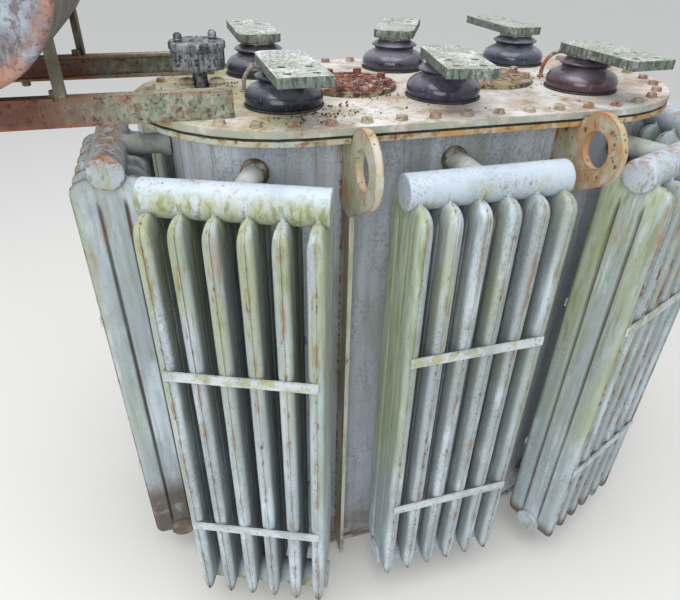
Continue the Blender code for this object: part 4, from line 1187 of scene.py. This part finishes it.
for spot_x, spot_y in ((-0.031, -0.006), (0.033, -0.016), (0.0, 0.030)):
    cup = stand @ Matrix.Translation((spot_x, spot_y, 0))
    add_turned(work, ((0, 0.0004), (0.015, 0.0004), (0.0185, 0.003), (0.0190, 0.009),
                      (0.0175, 0.0125), (0.0145, 0.0145), (0.0150, 0.0165), (0.0170, 0.0185),
                      (0.0165, 0.0230), (0.0130, 0.0260), (0.009, 0.0272), (0, 0.0275)),
               32, cup, 1)
finish_piece("cast_relief_device", work, [CAST_GREY, RUBBER_CUP],
             ("pressure_relief_device",), angle=45)

# %% The conservator drum
DRUM_PAINT = finish("stained_drum_paint", "#77747E", 0.6, [
    ("#97A1AB", 0.55, 0, lambda t: both(
        t, patches(t, 40, 0.36, 0.10, 1, 1), looking(t, (0, -1, 0), 0.7, 0.95))),
    ("#6B6366", 0.7, 0.03, lambda t: patches(t, 40, 0.42, 0.10, 2.5, 2)),
    ("#5C4E4B", 0.8, 0.05, lambda t: both(t, patches(t, 12, 0.28, 0.06, 2, 3), 0.8)),
    ("#8A7F5A", 0.85, 0.03, lambda t: both(
        t, patches(t, 6, 0.4, 0.06, 9, 4), looking(t, (0, -1, 0), 0.7, 0.2), 0.8)),
    ("#A9785C", 0.88, 0.05, lambda t: both(
        t, marked(t, "seam"), patches(t, 36, 0.5, 0.14, 1, 5), 0.8)),
    ("#6F4636", 0.9, 0.05, lambda t: both(
        t, marked(t, "seam"), patches(t, 8, 0.2, 0.07, 1, 7), 0.7)),
    ("#4A4345", 0.9, 0.05, lambda t: both(t, patches(t, 4, 0.22, 0.06, 1, 6), 0.6)),
], grain_mm=2, grain_height_mm=0.15)
low, high = box_of("conservator_drum")
length, radius = high.y - low.y, (high.z - low.z) / 2
work = bmesh.new()
seam = work.verts.layers.float.new("seam")
half_side = ((0, 0.0022), (radius * 0.5, 0.0020), (radius - 0.045, 0.0018),
             (radius - 0.030, 0.0016), (radius - 0.016, 0.0014), (radius - 0.007, 0.0018),
             (radius - 0.003, 0.0026), (radius, 0.0060), (radius, 0.03))
profile = half_side + tuple((r, length - y) for r, y in reversed(half_side))
add_turned(work, profile, 96, Matrix.Translation((
    (low.x + high.x) / 2, low.y, (low.z + high.z) / 2)) @ LYING_Y, 0, seam,
    (4, 5, 6, 7, 10, 11, 12, 13))
finish_piece("rolled_drum", work, [DRUM_PAINT], ("conservator_drum",))

# %% [markdown]
# ## Beams and posts
#
# Two rolled channels carry the drum on angle-iron posts. Their CAD solids have the right
# section, so only the finish and the bolts are added: red rust at the far left, fading into
# grey-green lichen over old paint at the cover end, with a rusted upper edge.

# %% Finish and bolts of the beams
BEAM_STEEL = finish("rusted_channel_steel", "#7D8474", 0.75, [
    ("#929984", 0.72, 0, lambda t: patches(t, 30, 0.4, 0.10, 1, 1)),
    ("#A9A896", 0.7, 0, lambda t: both(t, patches(t, 14, 0.25, 0.08, 1, 2), 0.7)),
    ("#646A58", 0.8, 0.06, lambda t: both(t, patches(t, 6, 0.3, 0.07, 1.5, 3), 0.8)),
    ("#5B342B", 0.88, 0.1, lambda t: both(
        t, patches(t, 70, 0.92, 0.14, 1, 4), along_length(t, -0.42, -0.66), 0.95)),
    ("#76503C", 0.9, 0.12, lambda t: both(
        t, patches(t, 12, 0.2, 0.08, 1, 5), 0.7)),
    ("#8A5335", 0.9, 0.15, lambda t: both(
        t, worn_edges(t, 12), patches(t, 16, 0.7, 0.10, 1, 6), 0.9)),
    ("#35261F", 0.92, 0.2, lambda t: both(t, patches(t, 4, 0.20, 0.05, 1, 7), 0.75)),
    # Painted shade: a dark coat in the sheltered corners of the channel.
    ("#2E2A24", 0.9, 0, lambda t: both(t, painted_shade_in_corners(t, 20), 0.4)),
], grain_mm=2, grain_height_mm=0.2, edge_mm=1)
POST_STEEL = finish("dull_angle_iron", "#5E574D", 0.8, [
    ("#7C7667", 0.8, 0, lambda t: patches(t, 26, 0.4, 0.08, 4, 1)),
    ("#5D3B2D", 0.9, 0.1, lambda t: patches(t, 18, 0.35, 0.06, 3, 2)),
    ("#7D8068", 0.85, 0.05, lambda t: both(t, patches(t, 12, 0.25, 0.05, 2, 3), 0.8)),
], grain_mm=2, grain_height_mm=0.2, edge_mm=1)
dress(BEAM_STEEL, "conservator_beam_front", "conservator_beam_back")
dress(POST_STEEL, *(f"drum_post_{corner}" for corner in CORNERS))
work = bmesh.new()
for low, high in BEAMS:
    middle = (low.y + high.y) / 2
    for x in (low.x + 0.058, low.x + 0.218, low.x + 0.318):
        add_bolt(work, Matrix.Translation((x, middle, high.z + SEAT_GAP)), **M10_HEAD)
    add_bolt(work, Matrix.Translation((low.x + 0.198, middle, low.z - SEAT_GAP))
             @ Matrix.Rotation(math.pi, 4, "X"), **M10_HEAD)
finish_piece("beam_bolts", work, [POST_STEEL], angle=30)

# %% [markdown]
# ## Loose rust on the cover
#
# Crumbs of scale and dried dirt have gathered round the bushings, the relief device and the
# bolts. They are small uneven plates scattered from fixed seeds, so the result is the same
# every time the lesson runs.

# %% Scatter the crumbs
CRUMB = finish("dry_rust_crumb", "#4A352A", 0.92, [
    ("#7A5A45", 0.92, 0, lambda t: patches(t, 12, 0.35, 0.06, 1, 1)),
    ("#2C231D", 0.92, 0, lambda t: patches(t, 9, 0.3, 0.06, 1, 2)),
], grain_mm=1.2, grain_height_mm=0.2)
dice = random.Random(31)
work = bmesh.new()
CRUMB_SPOTS = ((-0.160, -0.225, 0.045, 60), (-0.110, -0.160, 0.030, 25), (-0.33, 0.06, 0.05, 40),
               (-0.26, 0.00, 0.05, 30), (0.00, -0.10, 0.06, 30), (-0.13, -0.03, 0.06, 36),
               (0.30, 0.02, 0.05, 20), (0.47, -0.05, 0.06, 16), (0.13, -0.2, 0.2, 24))
for x, y, spread, count in CRUMB_SPOTS:
    for index in range(count):
        spot = Vector((x + dice.gauss(0, spread), y + dice.gauss(0, spread * 0.5), SEAT + 0.0012))
        over = abs(spot.x - TANK_X) - STRAIGHT_HALF
        if math.hypot(max(over, 0), spot.y) < 0.295 and not under_beam(spot.x, spot.y):
            add_flake(work, spot, dice.uniform(0.0012, 0.0042), dice.uniform(0.0008, 0.002), dice)
finish_piece("cover_crumbs", work, [CRUMB], angle=20)

# %% [markdown]
# ## Floor and light
#
# A plain pale floor and soft light let the finishes speak. The world gives an even sky and
# two large lamps add a gentle direction from above and from the front left, at a level
# where a colour renders about as it is written.

# %% Floor
floor_mesh = bpy.data.meshes.new("pale_floor")
FLOOR_REACH, FLOOR_LEVEL = 60, -0.0005
floor_mesh.from_pydata([(x * FLOOR_REACH, y * FLOOR_REACH, FLOOR_LEVEL) for x, y in (
    (-1, -1), (1, -1), (1, 1), (-1, 1))], [], [(0, 1, 2, 3)])
floor = bpy.data.objects.new("pale_floor", floor_mesh)
SCENE.collection.objects.link(floor)
floor_material = bpy.data.materials.new("pale_floor")
floor_material.use_nodes = True
floor_shader = floor_material.node_tree.nodes["Principled BSDF"]
floor_shader.inputs["Base Color"].default_value = linear("#E2E0DB")
floor_shader.inputs["Roughness"].default_value = 0.9
floor_mesh.materials.append(floor_material)

# %% Light
world = bpy.data.worlds.new("soft_sky")
SCENE.world = world
world.use_nodes = True
sky = world.node_tree.nodes["Background"]
sky.inputs["Color"].default_value = linear("#E9EDF2")
sky.inputs["Strength"].default_value = 0.86


def soft_lamp(name, place, aim, size, watts, tint):
    data = bpy.data.lights.new(name, "AREA")
    data.shape = "SQUARE"
    data.size = size
    data.energy = watts
    data.color = linear(tint)[:3]
    lamp = bpy.data.objects.new(name, data)
    SCENE.collection.objects.link(lamp)
    lamp.location = place
    lamp.rotation_euler = (Vector(aim) - Vector(place)).to_track_quat("-Z", "Y").to_euler()


soft_lamp("overhead", (-0.6, -0.8, 4.4), (0, 0, 0.8), 3.0, 105, "#FFFFFF")
soft_lamp("front_left", (-2.4, -3.7, 2.4), (0, 0, 0.7), 2.8, 90, "#FFFFFF")
